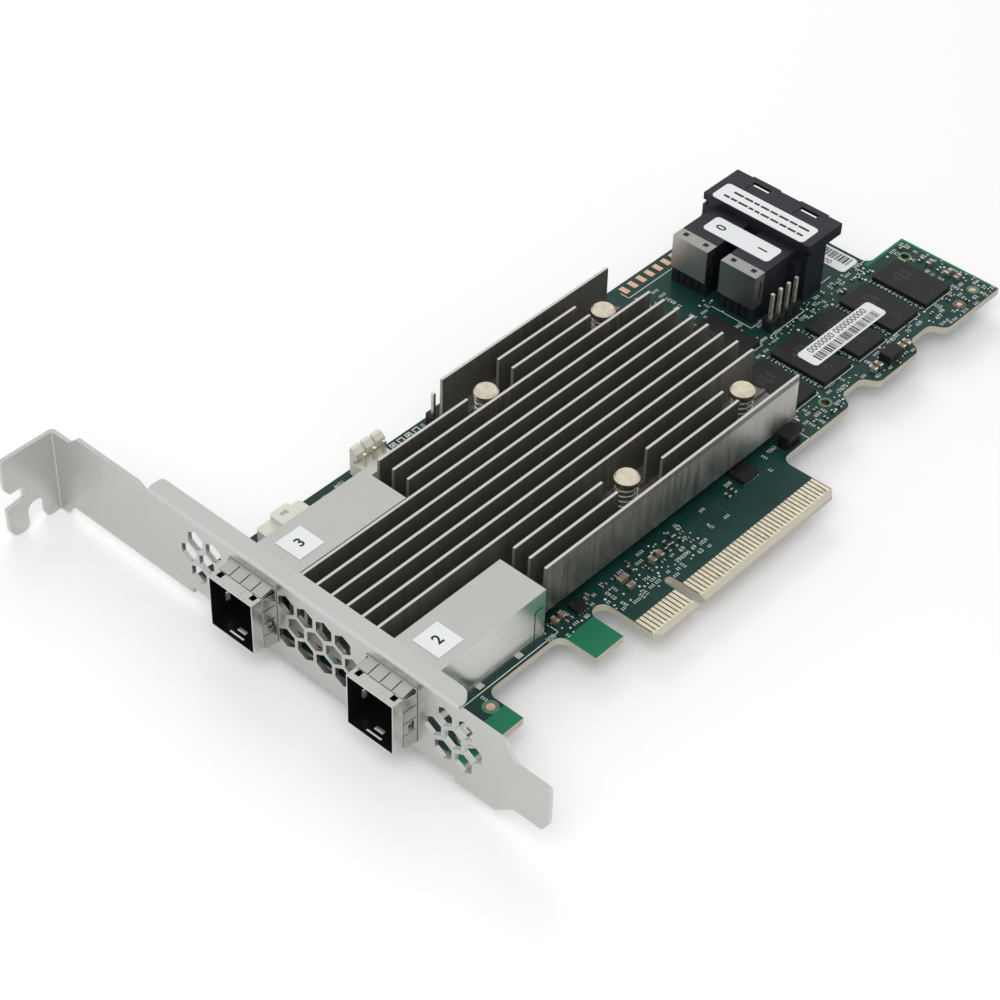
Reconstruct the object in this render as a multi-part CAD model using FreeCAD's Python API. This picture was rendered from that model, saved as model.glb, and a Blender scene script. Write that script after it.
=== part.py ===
"""Two-port disk controller card for a PCI Express slot, with its full-height bracket.

Millimetres. X runs along the card away from the bracket, Y from the edge connector up to the
top edge, Z out of the component side. The origin is on the component face of the board, at the
leading edge of the edge connector, in the middle of the key notch. The card lies flat with its
components up.
"""
import FreeCAD, Part
import math
import os

V = FreeCAD.Vector

# ---------------------------------------------------------------- circuit board
board_t = 1.57
board_end_margin = 7.22       # board beyond the last memory package
board_top_y = 68.5            # long edge away from the edge connector
shoulder_x = 99.3             # the board narrows from here to its far end
shoulder_y = 36.6
lower_edge_y = 12.6           # long edge beside the edge connector
relief_rise = 3.3             # two shallow reliefs in the lower edge
relief_ramp = 1.9
relief_1_x = (62.3, 68.4)
relief_2_x = (84.9, 91.2)
cut_top_y = 12.7              # inner end of the cut-out and of the hook slot
near_tab_x = -41.9            # tab beside the bracket
near_tab_y = 4.4
hook_left_x = -23.3           # retention hook beside the edge connector
hook_right_x = -16.0
hook_bottom_y = 4.5
cut_corner_r = 2.0

# ---------------------------------------------------------------- edge connector
contact_pitch = 1.0
contact_w = 0.7
contact_len = 4.2
contact_edge_gap = 1.1        # bare bevelled strip in front of the contacts
contact_short_by = 1.2        # hot-plug pads stop short of the others
contact_t = 0.04
contact_count_before_key = 11
contact_count_after_key = 38
short_pin_numbers = (17, 31, 48)
key_w = 1.9
key_top_y = 8.3
key_to_contact = 1.5          # key centre to the centre of the contact on either side
tongue_margin = 0.25          # board beside the outermost contact
bevel_depth = 0.35
tongue_corner = 1.1           # slanted outer corners of the tongue

# ---------------------------------------------------------------- bracket
sheet_t = 0.86
bracket_x = -57.4             # outer face
board_to_bracket = 0.5
bracket_len = 120.02
bracket_tip_y = -14.7
bracket_tip_z = (-0.4, 10.1)  # narrow lower end that drops into the chassis
bracket_low_z = -3.8          # lower edge of the main face
bracket_neck_z = 12.0         # upper edge beside the top tab
bracket_top_z = 14.3          # upper edge of the main face
bracket_tab_z = -6.5          # lower edge beside the top tab
bend_r = 1.1                  # outside radius of each bend
flange_z = 14.75              # top of the stiffening flange
flange_y = (5.1, 78.8)
flange_reach = 3.7
flange_near_r = 2.4
flange_far_r = 1.0
flange_relief = (2.8, 0.5)    # notch beside the flange: its mouth and its floor
flange_relief_drop = 0.5
bracket_shelf_drop = 0.3      # upper edge of the face in front of the flange
neck_slope_y = (11.4, 7.3)    # lower edge rises here towards the tip, measured from the tip
tip_slope_y = (9.7, 7.2)      # upper edge falls here towards the tip
tip_corner = (1.3, 2.1)
tab_slope_y = (4.0, 1.7)      # lower edge drops here to the top tab, measured from the bend
top_slope_y = (6.7, 4.2)
top_tab_reach = 11.7
tab_slot_from_face = 5.4       # slot centre in front of the face
tab_slot_w = 3.8
tab_slot_top_z = -1.0
tab_notch_z = (1.0, 3.8)
tab_notch_depth = 3.9
tab_notch_mouth = (0.6, 1.4)
tab_lip = 1.0
tab_slot_mouth_r = 1.2
tab_finger_r = 2.4
foot_reach = 8.0
foot_w = 7.0
foot_centre_y = (7.5, 62.6)    # the feet lie under the board
foot_hole_inset = 2.3         # screw centre back from the foot's free end
foot_corner = 1.0
foot_fillet = 0.4
edge_recess_y = ((5.4, 29.5), (50.3, 68.4))  # the lower edge rises to the feet here

vent_across = 3.7
vent_pitch = 4.47
vent_row_z = (2.0, 5.95, 9.9)
# y of the first vent of the bottom, middle and top rows of each field, and how many follow
vent_start_y = ((3.65, 1.55, 3.65), (31.1, 28.7, 31.0), (66.4, 64.2, 62.3))
vent_row_count = ((2, 3, 2), (4, 4, 4), (1, 2, 2))

screw_r = 1.45
screw_head_r = 3.0
screw_head_h = 1.45
screw_tip = 0.6               # how far the screw stands out below the foot
screw_clear = 0.12

# ---------------------------------------------------------------- external ports
port_centre_y = (19.6, 52.4)
cage_w = 10.56
cage_h = 11.5
cage_front = 5.3              # cage nose in front of the bracket's outer face
cage_rear_x = -25.6
cage_wall = 0.25
port_hole_clear = 0.1          # bracket opening around the shield ring
cage_window = (1.3, 1.1)      # windows over the mouth, along X and Y
cage_window_inset = (1.7, 1.3)
cage_lip_slot = (0.4, 3.4)    # two stamped slots in the floor of the mouth
cage_lip_slot_x = 0.95
cage_loop_slot = (0.8, 2.0)
cage_loop_slot_x = 2.25
cage_tongue = (1.9, 3.6)      # raised tongue and rim on top of the mouth
cage_rim = (0.5, 6.2)
cage_tongue_t = 0.12
cage_side_window = (1.2, 2.0)  # spring window in each side wall, beside the bracket
cage_side_window_x = 3.9
cage_seam_x = -28.2
cage_seam_z = 7.8
cage_seam_w = 0.25
cage_foot = (1.4, 0.6)
cage_foot_x = (-50.5, -41.8, -32.0)

gasket_t = 0.15
gasket_reach = 2.9            # spring fingers in front of the bracket
gasket_proud = 0.3            # finger roots stand this far off the cage's sides
gasket_proud_top = 0.5
gasket_clear = 0.06
gasket_back = 0.1             # sleeve behind the bracket's inner face
gasket_root_bar = 0.35        # uncut strip beside the bracket
gasket_slit_from_z = 0.8      # lower ends of the slits, as a share of the cage's height
gasket_slit = 0.22
gasket_fingers = 4

receptacle_depth = 13.0
receptacle_clear = 0.05
receptacle_nose = 4.0
receptacle_step = 3.0         # the shoulder starts this far behind the front
receptacle_lip = (1.6, 2.2)   # nose below the lower slot and above the upper one
paddle_slot_floor = 4.0       # plastic left behind the slots
paddle_slot_h = 1.1
paddle_slot_z = (3.6, 7.4)
paddle_slot_w = 7.7
port_contact_pitch = 1.35
port_contact_count = 5
port_contact_w = 0.4
port_contact_set_back = 0.8
port_contact_t = 0.2

# ---------------------------------------------------------------- heat sink
fin_count = 14
fin_pitch = 3.585
fin_first_y = 63.3
fin_root_t = 0.8
fin_tip_t = 0.55
fin_top_z = 13.2
sink_bottom_z = 2.6
sink_base_z = 5.0
sink_x = (-23.3, 47.4)
sink_wing_x = -55.4           # narrow wing that reaches the bracket between the ports
sink_wing_fins = (5, 10)      # first and last fin that run out along the wing
sink_step_x = 0.5             # the outer fin starts here
sink_edge = 0.35              # base outside the outer fins
sink_pocket_len = 12.2
sink_pocket_x = (-0.2, 33.9)  # left ends of the milled pockets; the right ones run out to the end
fin_stub_h = 0.5              # stubs left where the fins are milled away
fin_foot_drop = 0.4           # base outside the outer fin lies lower
sink_mill_margin = 0.2        # milled edge beside the third fin
pocket_margin = 0.45          # pocket edge from its outermost fin, as a share of the fin pitch

pin_x = (4.3, 37.3)
pin_row_fins = ((1, 2), (11, 12))
pin_y_offset = (-2.3, -0.2)   # pin rows against the middle of their two milled fins
pin_head_r = 2.4
pin_head_h = 1.5
pin_chamfer = 0.45
pin_shank_r = 1.3
pin_hole_clear = 0.25
pin_barb_r = 1.75             # flat barb under the board
pin_barb_h = 1.4
pin_barb_t = 1.5
pin_barb_tip = 0.8
pin_barb_gap = 0.1
spring_wire = 0.5
spring_turns = 3
spring_turn_runs = 6          # straight runs in one turn of the coil
spring_gap = 0.05
spring_inset = 0.1            # coil inside the edge of the pin head

chip_size = 27.0
chip_t = 1.15
lid_size = 21.0
lid_t = 1.1
lid_corner = 1.2

# ---------------------------------------------------------------- internal double connector
jack_x = 79.8                 # rear face of the mounting flange
jack_flange_t = 6.2
jack_centre_y = 51.85
jack_flange_shift = 0.2       # flange middle against the modules' middle
jack_flange_w = 26.5
jack_flange_h = 13.4
jack_roof_reach = 4.8
jack_roof_t = 2.6
jack_module_pitch = 12.0
jack_module_w = 8.7
jack_module_h = 11.5
jack_rear_x = 66.5
jack_shell_depth = 3.0
jack_shell_t = 0.25
jack_shell_bottom_z = 3.7
jack_shell_slit = (0.5, 4.2)   # slit down each side of a shell
jack_shell_slit_x = 2.0
jack_base_inset = 0.35
jack_base_slit = (0.3, 0.4)   # slits down the base, their depth and width
jack_base_slit_count = 4
jack_shoulder = (2.2, 1.7, 9.6)  # blocks between modules and flange: length, width and height
jack_end_notch = (1.0, 1.2, 1.2)
jack_end_notch_z = 10.6
jack_mouth_w = 9.0
jack_mouth_z = (1.2, 10.2)
jack_throat_w = 7.6           # the mouth narrows behind the flange
jack_mouth_depth = 9.5
jack_tongue_t = 1.0
jack_tongue_z = (3.7, 7.3)
jack_tongue_w = 7.0
jack_tongue_len = 6.0
jack_lug_w = 7.0
jack_lug_h = 0.35
jack_roof_web = 0.7           # thin roof over each mouth, between the thick ribs
jack_roof_pocket_w = 8.4
jack_slot = (1.2, 4.3)
jack_slot_inset = 1.1
jack_groove = (2.2, 0.2, 0.15)   # shallow groove beside each slot: length, width and depth
jack_hole = 1.1
jack_hole_x = 1.8
jack_hole_offset = 2.5
jack_contact_count = 5
jack_contact_pitch = 1.2
jack_contact_w = 0.45
jack_contact_t = 0.12
jack_contact_gap = 0.6         # bare tongue in front of the contacts

# ---------------------------------------------------------------- chips
memory_count = 5
memory_pitch = 11.22
memory_first_x = 50.3
memory_size = (8.6, 14.5)
memory_y = 19.5
memory_h = 1.2
flash_size = (12.4, 12.2)
flash_corner = (50.6, 36.3)
flash_h = 1.2
chip_chamfer = 0.15

# ---------------------------------------------------------------- headers and small connectors
header_pitch = 2.54
header_pins = 4
header_first = (68.3, 38.25)
header_body_w = 2.5
header_body_h = 2.5
header_pin_w = 0.64
header_pin_top = 8.5
header_chamfer = 0.5

jumper_first = (1.5, 66.2)
jumper_pins = 2
jumper_pin_top = 7.6

lock_x = (-19.2, -11.8)       # tall three-way locking connector
lock_y = (62.2, 67.6)
lock_h = 6.4
lock_base_h = 3.0
lock_gap = 0.6
lock_gap_rise = 0.5           # the gaps in the wall start above the base
lock_wall_t = 0.9
lock_head_t = 0.8             # flat top of the wall
lock_nose = 0.9               # the heads reach this far in front of the wall
lock_nose_z = (4.1, 5.6)      # upright front of the nose, under its ramp
lock_pin_w = 0.64
lock_pin_top = 5.8
lock_pin_to_wall = 1.8        # pin centres in front of the wall

low_x = (-43.4, -32.6)        # low side-entry connector
low_y = (61.8, 67.0)
low_h = 3.0
low_cap_x = (-40.2, -35.8)
low_cap_h = 4.5
low_cap_inset = (0.8, 0.1)
low_window = (1.6, 1.0)       # latch window sunk into the cap
low_window_depth = 0.7
low_window_inset = 1.2        # from the cap's back
low_corner = 0.4
low_mouth_h = 1.9
low_mouth_depth = 3.0
low_pin_w = 0.5
low_pin_set_back = 1.2
low_wall = 0.6
low_pin_count = 5

# ---------------------------------------------------------------- board components
inductor = (41.5, 13.2, 5.1, 3.0, 2.9)        # x, y, length, width, height
inductor_cut = 0.85
# x, y, length, width and height of the small packages
small_chips = (
    (28.3, 13.2, 4.6, 4.1, 1.1),
    (75.5, 14.1, 4.5, 3.0, 1.9),
    (99.6, 13.9, 3.0, 3.0, 0.9),
    (-17.8, 13.3, 2.8, 3.0, 0.9),
)
# x, y and turn of the small capacitors and resistors
capacitors = (
    (71.9, 15.5, 90), (73.6, 15.5, 90), (81.4, 15.6, 90), (83.0, 15.6, 90),
    (-21.8, 15.2, 90), (-20.0, 15.2, 90), (-6.2, 11.2, 0), (1.4, 12.6, 90),
    (3.4, 12.6, 90),
)
resistors = (
    (-9.2, 14.8, 0), (-6.6, 14.8, 0), (5.6, 12.4, 90), (7.4, 12.4, 90), (9.2, 12.4, 90),
    (24.2, 13.6, 90), (25.9, 13.6, 90),
)
end_column_gap = 3.7          # column of small components beyond the last memory package
end_capacitor_y = (20.4, 22.6, 27.2)
end_resistor_y = (24.8, 29.4)
capacitor_size = (2.0, 1.2, 1.1)
resistor_size = (1.6, 0.8, 0.5)
bulk_capacitor = (-6.0, 13.3, 3.2, 1.6, 1.7)

tooling_hole_r = 0.9
tooling_holes = ((58.0, 16.6), (106.4, 32.5))
test_pad = (1.3, 2.2)
test_pad_first = (57.7, 65.5)
test_pad_pitch = 2.6
test_pad_count = 7
land_t = 0.04

# ---------------------------------------------------------------- labels
label_t = 0.1
port_label = 6.0
port_label_x = (-46.8, -46.4)
port_label_y_offset = (-0.2, -0.1)
jack_label = (5.2, 16.4)
jack_label_gap = 2.4
jack_label_shift = -0.5       # labels against the middle of the connector
flange_label_shift = (-0.1, 0.25)
flange_label = (5.8, 23.0)
memory_label_x = (64.3, 87.7)
memory_label_y = (23.6, 28.6)
serial_label_x = (93.0, 98.4)
serial_label_y = (38.3, 60.5)
label_cut = 0.45              # slanted corners of the stiff labels

# ---------------------------------------------------------------- worked out from the above
board_left_x = bracket_x + sheet_t + board_to_bracket
inner_x = bracket_x + sheet_t
contact_inner_y = contact_edge_gap + contact_len
contact_to_side = contact_w / 2 + tongue_margin
tongue_left_x = -key_to_contact - (contact_count_before_key - 1) * contact_pitch - contact_to_side
tongue_right_x = key_to_contact + (contact_count_after_key - 1) * contact_pitch + contact_to_side
bracket_end_y = bracket_tip_y + bracket_len
cage_front_x = bracket_x - cage_front
foot_end_x = inner_x + foot_reach
foot_hole_x = foot_end_x - foot_hole_inset
foot_low_z = -board_t - sheet_t
memory_end_x = memory_first_x + (memory_count - 1) * memory_pitch + memory_size[0]
board_end_x = memory_end_x + board_end_margin


# ================================================================ shape helpers
def on_z(z):
    """Drawing plane facing up at height z; u is X and v is Y."""
    return lambda u, v: V(u, v, z)


def on_x(x):
    """Drawing plane across the card at x; u is Y and v is Z."""
    return lambda u, v: V(x, u, v)


def on_y(y):
    """Drawing plane along the card at y; u is X and v is Z."""
    return lambda u, v: V(u, y, v)


def outline(corners, plane):
    """Face through (u, v) corners; a third number rounds that corner with its radius."""
    points = [plane(c[0], c[1]) for c in corners]
    runs = []
    for i, corner in enumerate(corners):
        here = points[i]
        radius = corner[2] if len(corner) > 2 else 0
        if not radius:
            runs.append((here, None, here))
            continue
        back = (points[i - 1] - here).normalize()
        ahead = (points[(i + 1) % len(points)] - here).normalize()
        half = back.getAngle(ahead) / 2
        setback = radius / math.tan(half)
        middle = here + (back + ahead).normalize() * (radius / math.sin(half) - radius)
        runs.append((here + back * setback, middle, here + ahead * setback))
    edges = []
    for i, (start, middle, end) in enumerate(runs):
        if middle:
            edges.append(Part.Arc(start, middle, end).toShape())
        following = runs[(i + 1) % len(runs)][0]
        if end.distanceToPoint(following) > 1e-6:
            edges.append(Part.makeLine(end, following))
    return Part.Face(Part.Wire(edges))


def cut_rectangle(u, v, cut):
    """Corners of a rectangle whose four corners are cut off at a slant."""
    return [
        (u[0] + cut, v[0]), (u[1] - cut, v[0]), (u[1], v[0] + cut), (u[1], v[1] - cut),
        (u[1] - cut, v[1]), (u[0] + cut, v[1]), (u[0], v[1] - cut), (u[0], v[0] + cut),
    ]


def block(x, y, z):
    """Plain block between the limits on each axis."""
    return Part.makeBox(x[1] - x[0], y[1] - y[0], z[1] - z[0], V(x[0], y[0], z[0]))


def slab(corners, z0, z1):
    """Flat plate with a drawn outline between two heights."""
    return outline(corners, on_z(z0)).extrude(V(0, 0, z1 - z0))


def rod(radius, x, y, z0, z1):
    """Upright cylinder between two heights."""
    return Part.makeCylinder(radius, z1 - z0, V(x, y, z0))


def around(centre, size):
    """Limits of a length centred on a place."""
    return (centre - size / 2, centre + size / 2)


def fused(solids):
    """One solid from touching or crossing solids."""
    return solids[0].fuse(solids[1:]).removeSplitter()


# ================================================================ board
def relief(limits):
    """Corners of one shallow relief in the lower edge, from left to right."""
    top = lower_edge_y + relief_rise
    left, right = limits
    return [
        (left - relief_ramp, lower_edge_y, cut_corner_r),
        (left, top, cut_corner_r),
        (right, top, cut_corner_r),
        (right + relief_ramp, lower_edge_y, cut_corner_r),
    ]


def make_board():
    """Board plate with its tabs, slots, key notch, bevelled tongue and drilled holes."""
    slot_r = (tongue_left_x - hook_right_x) * 0.49
    key_r = key_w * 0.49
    corners = [
        (board_left_x, near_tab_y),
        (near_tab_x, near_tab_y),
        (near_tab_x, cut_top_y, cut_corner_r),
        (hook_left_x, cut_top_y, cut_corner_r),
        (hook_left_x, hook_bottom_y),
        (hook_right_x, hook_bottom_y),
        (hook_right_x, cut_top_y, slot_r),
        (tongue_left_x, cut_top_y, slot_r),
        (tongue_left_x, tongue_corner),
        (tongue_left_x + tongue_corner, 0),
        (-key_w / 2, 0),
        (-key_w / 2, key_top_y, key_r),
        (key_w / 2, key_top_y, key_r),
        (key_w / 2, 0),
        (tongue_right_x - tongue_corner, 0),
        (tongue_right_x, tongue_corner),
        (tongue_right_x, lower_edge_y, cut_corner_r),
    ]
    corners += relief(relief_1_x) + relief(relief_2_x)
    corners += [
        (board_end_x, lower_edge_y),
        (board_end_x, shoulder_y),
        (shoulder_x, shoulder_y, cut_corner_r),
        (shoulder_x, board_top_y),
        (board_left_x, board_top_y),
    ]
    board = slab(corners, -board_t, 0)
    for face_z, inward in ((0, -1), (-board_t, 1)):
        bevel = [(0, face_z), (contact_edge_gap, face_z), (0, face_z + inward * bevel_depth)]
        wedge = outline(bevel, on_x(tongue_left_x)).extrude(V(tongue_right_x - tongue_left_x, 0, 0))
        board = board.cut(wedge)
    drills = [rod(tooling_hole_r, x, y, -board_t, 0) for x, y in tooling_holes]
    drills += [rod(screw_r + screw_clear, foot_hole_x, y, -board_t, 0) for y in foot_centre_y]
    drills += [rod(pin_shank_r + pin_hole_clear, x, y, -board_t, 0) for x, y in pin_places()]
    return board.cut(drills)


def make_contacts():
    """Gold contacts on both faces of the tongue, with the short hot-plug pads."""
    pads = []
    for pin in range(1, contact_count_before_key + contact_count_after_key + 1):
        if pin <= contact_count_before_key:
            x = -key_to_contact - (contact_count_before_key - pin) * contact_pitch
        else:
            x = key_to_contact + (pin - contact_count_before_key - 1) * contact_pitch
        front_y = contact_edge_gap + (contact_short_by if pin in short_pin_numbers else 0)
        for z in ((0, contact_t), (-board_t - contact_t, -board_t)):
            pads.append(block(around(x, contact_w), (front_y, contact_inner_y), z))
    return Part.makeCompound(pads)


def make_lands():
    """Row of bare test pads along the top edge."""
    pads = []
    for i in range(test_pad_count):
        x = around(test_pad_first[0] + i * test_pad_pitch, test_pad[0])
        pads.append(block(x, (test_pad_first[1], test_pad_first[1] + test_pad[1]), (0, land_t)))
    return Part.makeCompound(pads)


# ================================================================ bracket
def bracket_face():
    """Flat face of the bracket with its shaped edges, short of the two bends."""
    end_y = bracket_end_y - bend_r
    top_z = flange_z - bend_r
    tip_low, tip_high = bracket_tip_z
    relief_z = top_z - flange_relief_drop
    shelf_z = bracket_top_z - bracket_shelf_drop
    corners = [
        (bracket_tip_y, tip_low + tip_corner[1]),
        (bracket_tip_y + tip_corner[0], tip_low),
        (bracket_tip_y + neck_slope_y[1], tip_low, 1),
        (bracket_tip_y + neck_slope_y[0], bracket_low_z, 1),
        (end_y - tab_slope_y[0], bracket_low_z, 1),
        (end_y - tab_slope_y[1], bracket_tab_z),
        (end_y, bracket_tab_z),
        (end_y, bracket_neck_z),
        (end_y - top_slope_y[1], bracket_neck_z),
        (end_y - top_slope_y[0], bracket_top_z, 1),
        (flange_y[1] + flange_relief[0], bracket_top_z),
        (flange_y[1] + flange_relief[1], relief_z),
        (flange_y[1], relief_z),
        (flange_y[1], top_z),
        (flange_y[0], top_z),
        (flange_y[0], shelf_z),
        (bracket_tip_y + tip_slope_y[0], shelf_z, 1),
        (bracket_tip_y + tip_slope_y[1], tip_high, 1),
        (bracket_tip_y, tip_high, 1),
    ]
    return outline(corners, on_x(bracket_x)).extrude(V(sheet_t, 0, 0))


def bend(corner_u, corner_v, along_u, along_v, plane, sweep):
    """Bent sheet: a right-angle profile whose outer corner is rounded, swept across.

    The outer corner sits at corner_u, corner_v; along_u and along_v are the signed lengths of
    the two legs from it.
    """
    su = math.copysign(sheet_t, along_u)
    sv = math.copysign(sheet_t, along_v)
    corners = [
        (corner_u, corner_v, bend_r),
        (corner_u + along_u, corner_v),
        (corner_u + along_u, corner_v + sv),
        (corner_u + su, corner_v + sv, bend_r - sheet_t),
        (corner_u + su, corner_v + along_v),
        (corner_u, corner_v + along_v),
    ]
    return outline(corners, plane).extrude(sweep)


def make_flange():
    """Stiffening flange along the upper edge, with its rounded free corners."""
    strip = bend(bracket_x, flange_z, flange_reach, -bend_r, on_y(flange_y[0]),
                 V(0, flange_y[1] - flange_y[0], 0))
    reach = (bracket_x, bracket_x + flange_reach)
    plan = [
        (reach[0], flange_y[0]),
        (reach[1], flange_y[0], flange_near_r),
        (reach[1], flange_y[1], flange_far_r),
        (reach[0], flange_y[1]),
    ]
    return strip.common(slab(plan, flange_z - bend_r, flange_z))


def make_top_tab():
    """Top tab that the chassis screw holds, with its screw slot, finger and side notch."""
    far_x = bracket_x + sheet_t - top_tab_reach - sheet_t
    strip = bend(inner_x, bracket_end_y, far_x - inner_x, -bend_r,
                 lambda u, v: V(u, v, bracket_tab_z), V(0, 0, bracket_neck_z - bracket_tab_z))
    slot_x = around(bracket_x - tab_slot_from_face, tab_slot_w)
    slot_end_r = tab_slot_w * 0.49
    notch_x = far_x + tab_notch_depth
    plan = [
        (inner_x, bracket_tab_z),
        (slot_x[1], bracket_tab_z, tab_slot_mouth_r),
        (slot_x[1], tab_slot_top_z, slot_end_r),
        (slot_x[0], tab_slot_top_z, slot_end_r),
        (slot_x[0], bracket_tab_z, tab_slot_mouth_r),
        (far_x, bracket_tab_z, tab_finger_r),
        (far_x, tab_notch_z[0] - tab_notch_mouth[0]),
        (notch_x, tab_notch_z[0]),
        (notch_x, tab_notch_z[1]),
        (far_x + tab_lip, tab_notch_z[1]),
        (far_x, tab_notch_z[1] + tab_notch_mouth[1]),
        (far_x, bracket_neck_z, 1),
        (inner_x, bracket_neck_z),
    ]
    prism = outline(plan, on_y(bracket_end_y - bend_r)).extrude(V(0, bend_r, 0))
    return strip.common(prism)


def make_foot(centre_y):
    """Foot bent off the lower edge of the face; it lies under the board and takes a screw."""
    side = around(centre_y, foot_w)
    throat_z = -board_t + foot_fillet
    profile = [
        (inner_x, foot_low_z), (foot_end_x, foot_low_z), (foot_end_x, -board_t),
        (inner_x + foot_fillet, -board_t), (inner_x, throat_z),
    ]
    leg = outline(profile, on_y(side[0])).extrude(V(0, foot_w, 0))
    plan = [
        (inner_x, side[0]), (foot_end_x - foot_corner, side[0]), (foot_end_x, side[0] + foot_corner),
        (foot_end_x, side[1] - foot_corner), (foot_end_x - foot_corner, side[1]), (inner_x, side[1]),
    ]
    foot = leg.common(slab(plan, foot_low_z, throat_z))
    return foot.cut(rod(screw_r + screw_clear, foot_hole_x, centre_y, foot_low_z, -board_t))


def vents():
    """Hexagonal vent holes, corner up, in three staggered rows of each field."""
    corner_r = vent_across / math.sqrt(3)
    holes = []
    for starts, counts in zip(vent_start_y, vent_row_count):
        for row_z, start_y, count in zip(vent_row_z, starts, counts):
            for i in range(count):
                y = start_y + i * vent_pitch
                turns = [math.radians(90 + 60 * k) for k in range(6)]
                hexagon = [(y + corner_r * math.cos(a), row_z + corner_r * math.sin(a)) for a in turns]
                holes.append(outline(hexagon, on_x(bracket_x)).extrude(V(sheet_t, 0, 0)))
    return holes


def make_bracket():
    """Sheet-metal bracket: face, flange, top tab and feet, with port openings and vents."""
    parts = [bracket_face(), make_flange(), make_top_tab()]
    parts += [make_foot(y) for y in foot_centre_y]
    bracket = fused(parts)
    openings = vents()
    beyond = gasket_proud + gasket_t + port_hole_clear
    hole_z = (-beyond, cage_h + gasket_proud_top + gasket_t + port_hole_clear)
    for y in port_centre_y:
        side = around(y, cage_w + 2 * beyond)
        openings.append(block((bracket_x, inner_x), side, hole_z))
    for side in edge_recess_y:
        openings.append(block((bracket_x, inner_x), side, (bracket_low_z, foot_low_z)))
    return bracket.cut(openings)


def make_screws():
    """Low-headed screws through the board into the feet."""
    screws = []
    for y in foot_centre_y:
        head = rod(screw_head_r, foot_hole_x, y, 0, screw_head_h)
        shank = rod(screw_r, foot_hole_x, y, foot_low_z - screw_tip, 0)
        screws.append(fused([head, shank]))
    return Part.makeCompound(screws)


# ================================================================ external ports
def make_cage(centre_y):
    """Folded metal cage, open at the nose and under the receptacle."""
    x = (cage_front_x, cage_rear_x)
    y = around(centre_y, cage_w)
    inside_y = around(centre_y, cage_w - 2 * cage_wall)
    shell = block(x, y, (0, cage_h))
    hollow = block((x[0], x[1] - cage_wall), inside_y, (cage_wall, cage_h - cage_wall))
    open_floor = block((x[1] - receptacle_depth, x[1] - cage_wall), inside_y, (0, cage_wall))
    lip_slot = block(around(x[0] + cage_lip_slot_x, cage_lip_slot[0]),
                     around(centre_y, cage_lip_slot[1]), (0, cage_wall))
    loop_slot = block(around(x[0] + cage_loop_slot_x, cage_loop_slot[0]),
                      around(centre_y, cage_loop_slot[1]), (0, cage_wall))
    cuts = [hollow, open_floor, lip_slot, loop_slot]
    for side in (-1, 1):
        edge_y = centre_y + side * cage_w / 2
        window_x = around(x[0] + cage_window_inset[0], cage_window[0])
        window_y = around(edge_y - side * cage_window_inset[1], cage_window[1])
        cuts.append(block(window_x, window_y, (cage_h - cage_wall, cage_h)))
        wall_y = around(edge_y, 4 * cage_wall)
        cuts.append(side_window(edge_y))
        cuts.append(block(around(cage_seam_x, cage_seam_w), wall_y, (0, cage_seam_z)))
        seam_z = (cage_seam_z - cage_seam_w, cage_seam_z)
        cuts.append(block((cage_seam_x, x[1] - 2 * cage_wall), wall_y, seam_z))
    cage = shell.cut(cuts)
    feet = []
    for side in (-1, 1):
        edge_y = centre_y + side * cage_w / 2
        foot_y = sorted((edge_y - side * cage_wall, edge_y + side * cage_foot[1]))
        feet += [block(around(fx, cage_foot[0]), foot_y, (0, cage_wall)) for fx in cage_foot_x]
    tongue_x = around(x[0] + cage_tongue[0] / 2, cage_tongue[0])
    rim_x = (x[0], x[0] + cage_rim[0])
    raised = (cage_h, cage_h + cage_tongue_t)
    trim = [block(tongue_x, around(centre_y, cage_tongue[1]), raised),
            block(rim_x, around(centre_y, cage_rim[1]), raised)]
    return fused([cage] + feet + trim)


def side_window(edge_y):
    """Cutter of the spring window through a side wall of the cage and its shield."""
    reach = 2 * (gasket_proud + gasket_t) + 2 * cage_wall
    second_finger_z = 1.5 * cage_h / gasket_fingers
    return block(around(cage_front_x + cage_side_window_x, cage_side_window[0]),
                 around(edge_y, reach), around(second_finger_z, cage_side_window[1]))


def make_gasket(centre_y):
    """Springy shield ring: a sleeve through the bracket opening and fingers down to the cage."""
    tip = (cage_w / 2 + gasket_clear, cage_h + gasket_clear)
    root = (cage_w / 2 + gasket_proud, cage_h + gasket_proud_top)

    def ring(x, size, grow):
        """Wire of the ring at x; the floor stays level with the cage's underside."""
        half_w = size[0] + grow
        side = around(centre_y, 2 * half_w)
        low = -(size[0] - cage_w / 2) - grow
        corners = [(side[0], low), (side[1], low), (side[1], size[1] + grow), (side[0], size[1] + grow)]
        return Part.Wire(Part.makePolygon([on_x(x)(*c) for c in corners + corners[:1]]))

    back_x = inner_x + gasket_back
    stations = ((bracket_x - gasket_reach, tip), (bracket_x, root), (back_x, root))
    outer = Part.makeLoft([ring(x, s, gasket_t) for x, s in stations], True, True)
    hollow = Part.makeLoft([ring(x, s, 0) for x, s in stations], True, True)
    sleeve = outer.cut(hollow)
    reach_x = (bracket_x - gasket_reach, bracket_x - gasket_root_bar)
    slit_z = (cage_h * gasket_slit_from_z, root[1] + gasket_t)
    slits = []
    for i in range(1, gasket_fingers):
        y = centre_y + (i / gasket_fingers - 0.5) * cage_w
        slits.append(block(reach_x, around(y, gasket_slit), slit_z))
        z = i / gasket_fingers * cage_h
        slits.append(block(reach_x, around(centre_y, 4 * root[0]), around(z, gasket_slit)))
    for side in (-1, 1):
        edge_y = centre_y + side * cage_w / 2
        corner_y = sorted((edge_y - side * gasket_slit, edge_y + side * 2 * root[0]))
        slits.append(block(reach_x, corner_y, (cage_h - gasket_slit, slit_z[1])))
        slits.append(side_window(edge_y))
    return sleeve.cut(slits)


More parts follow.
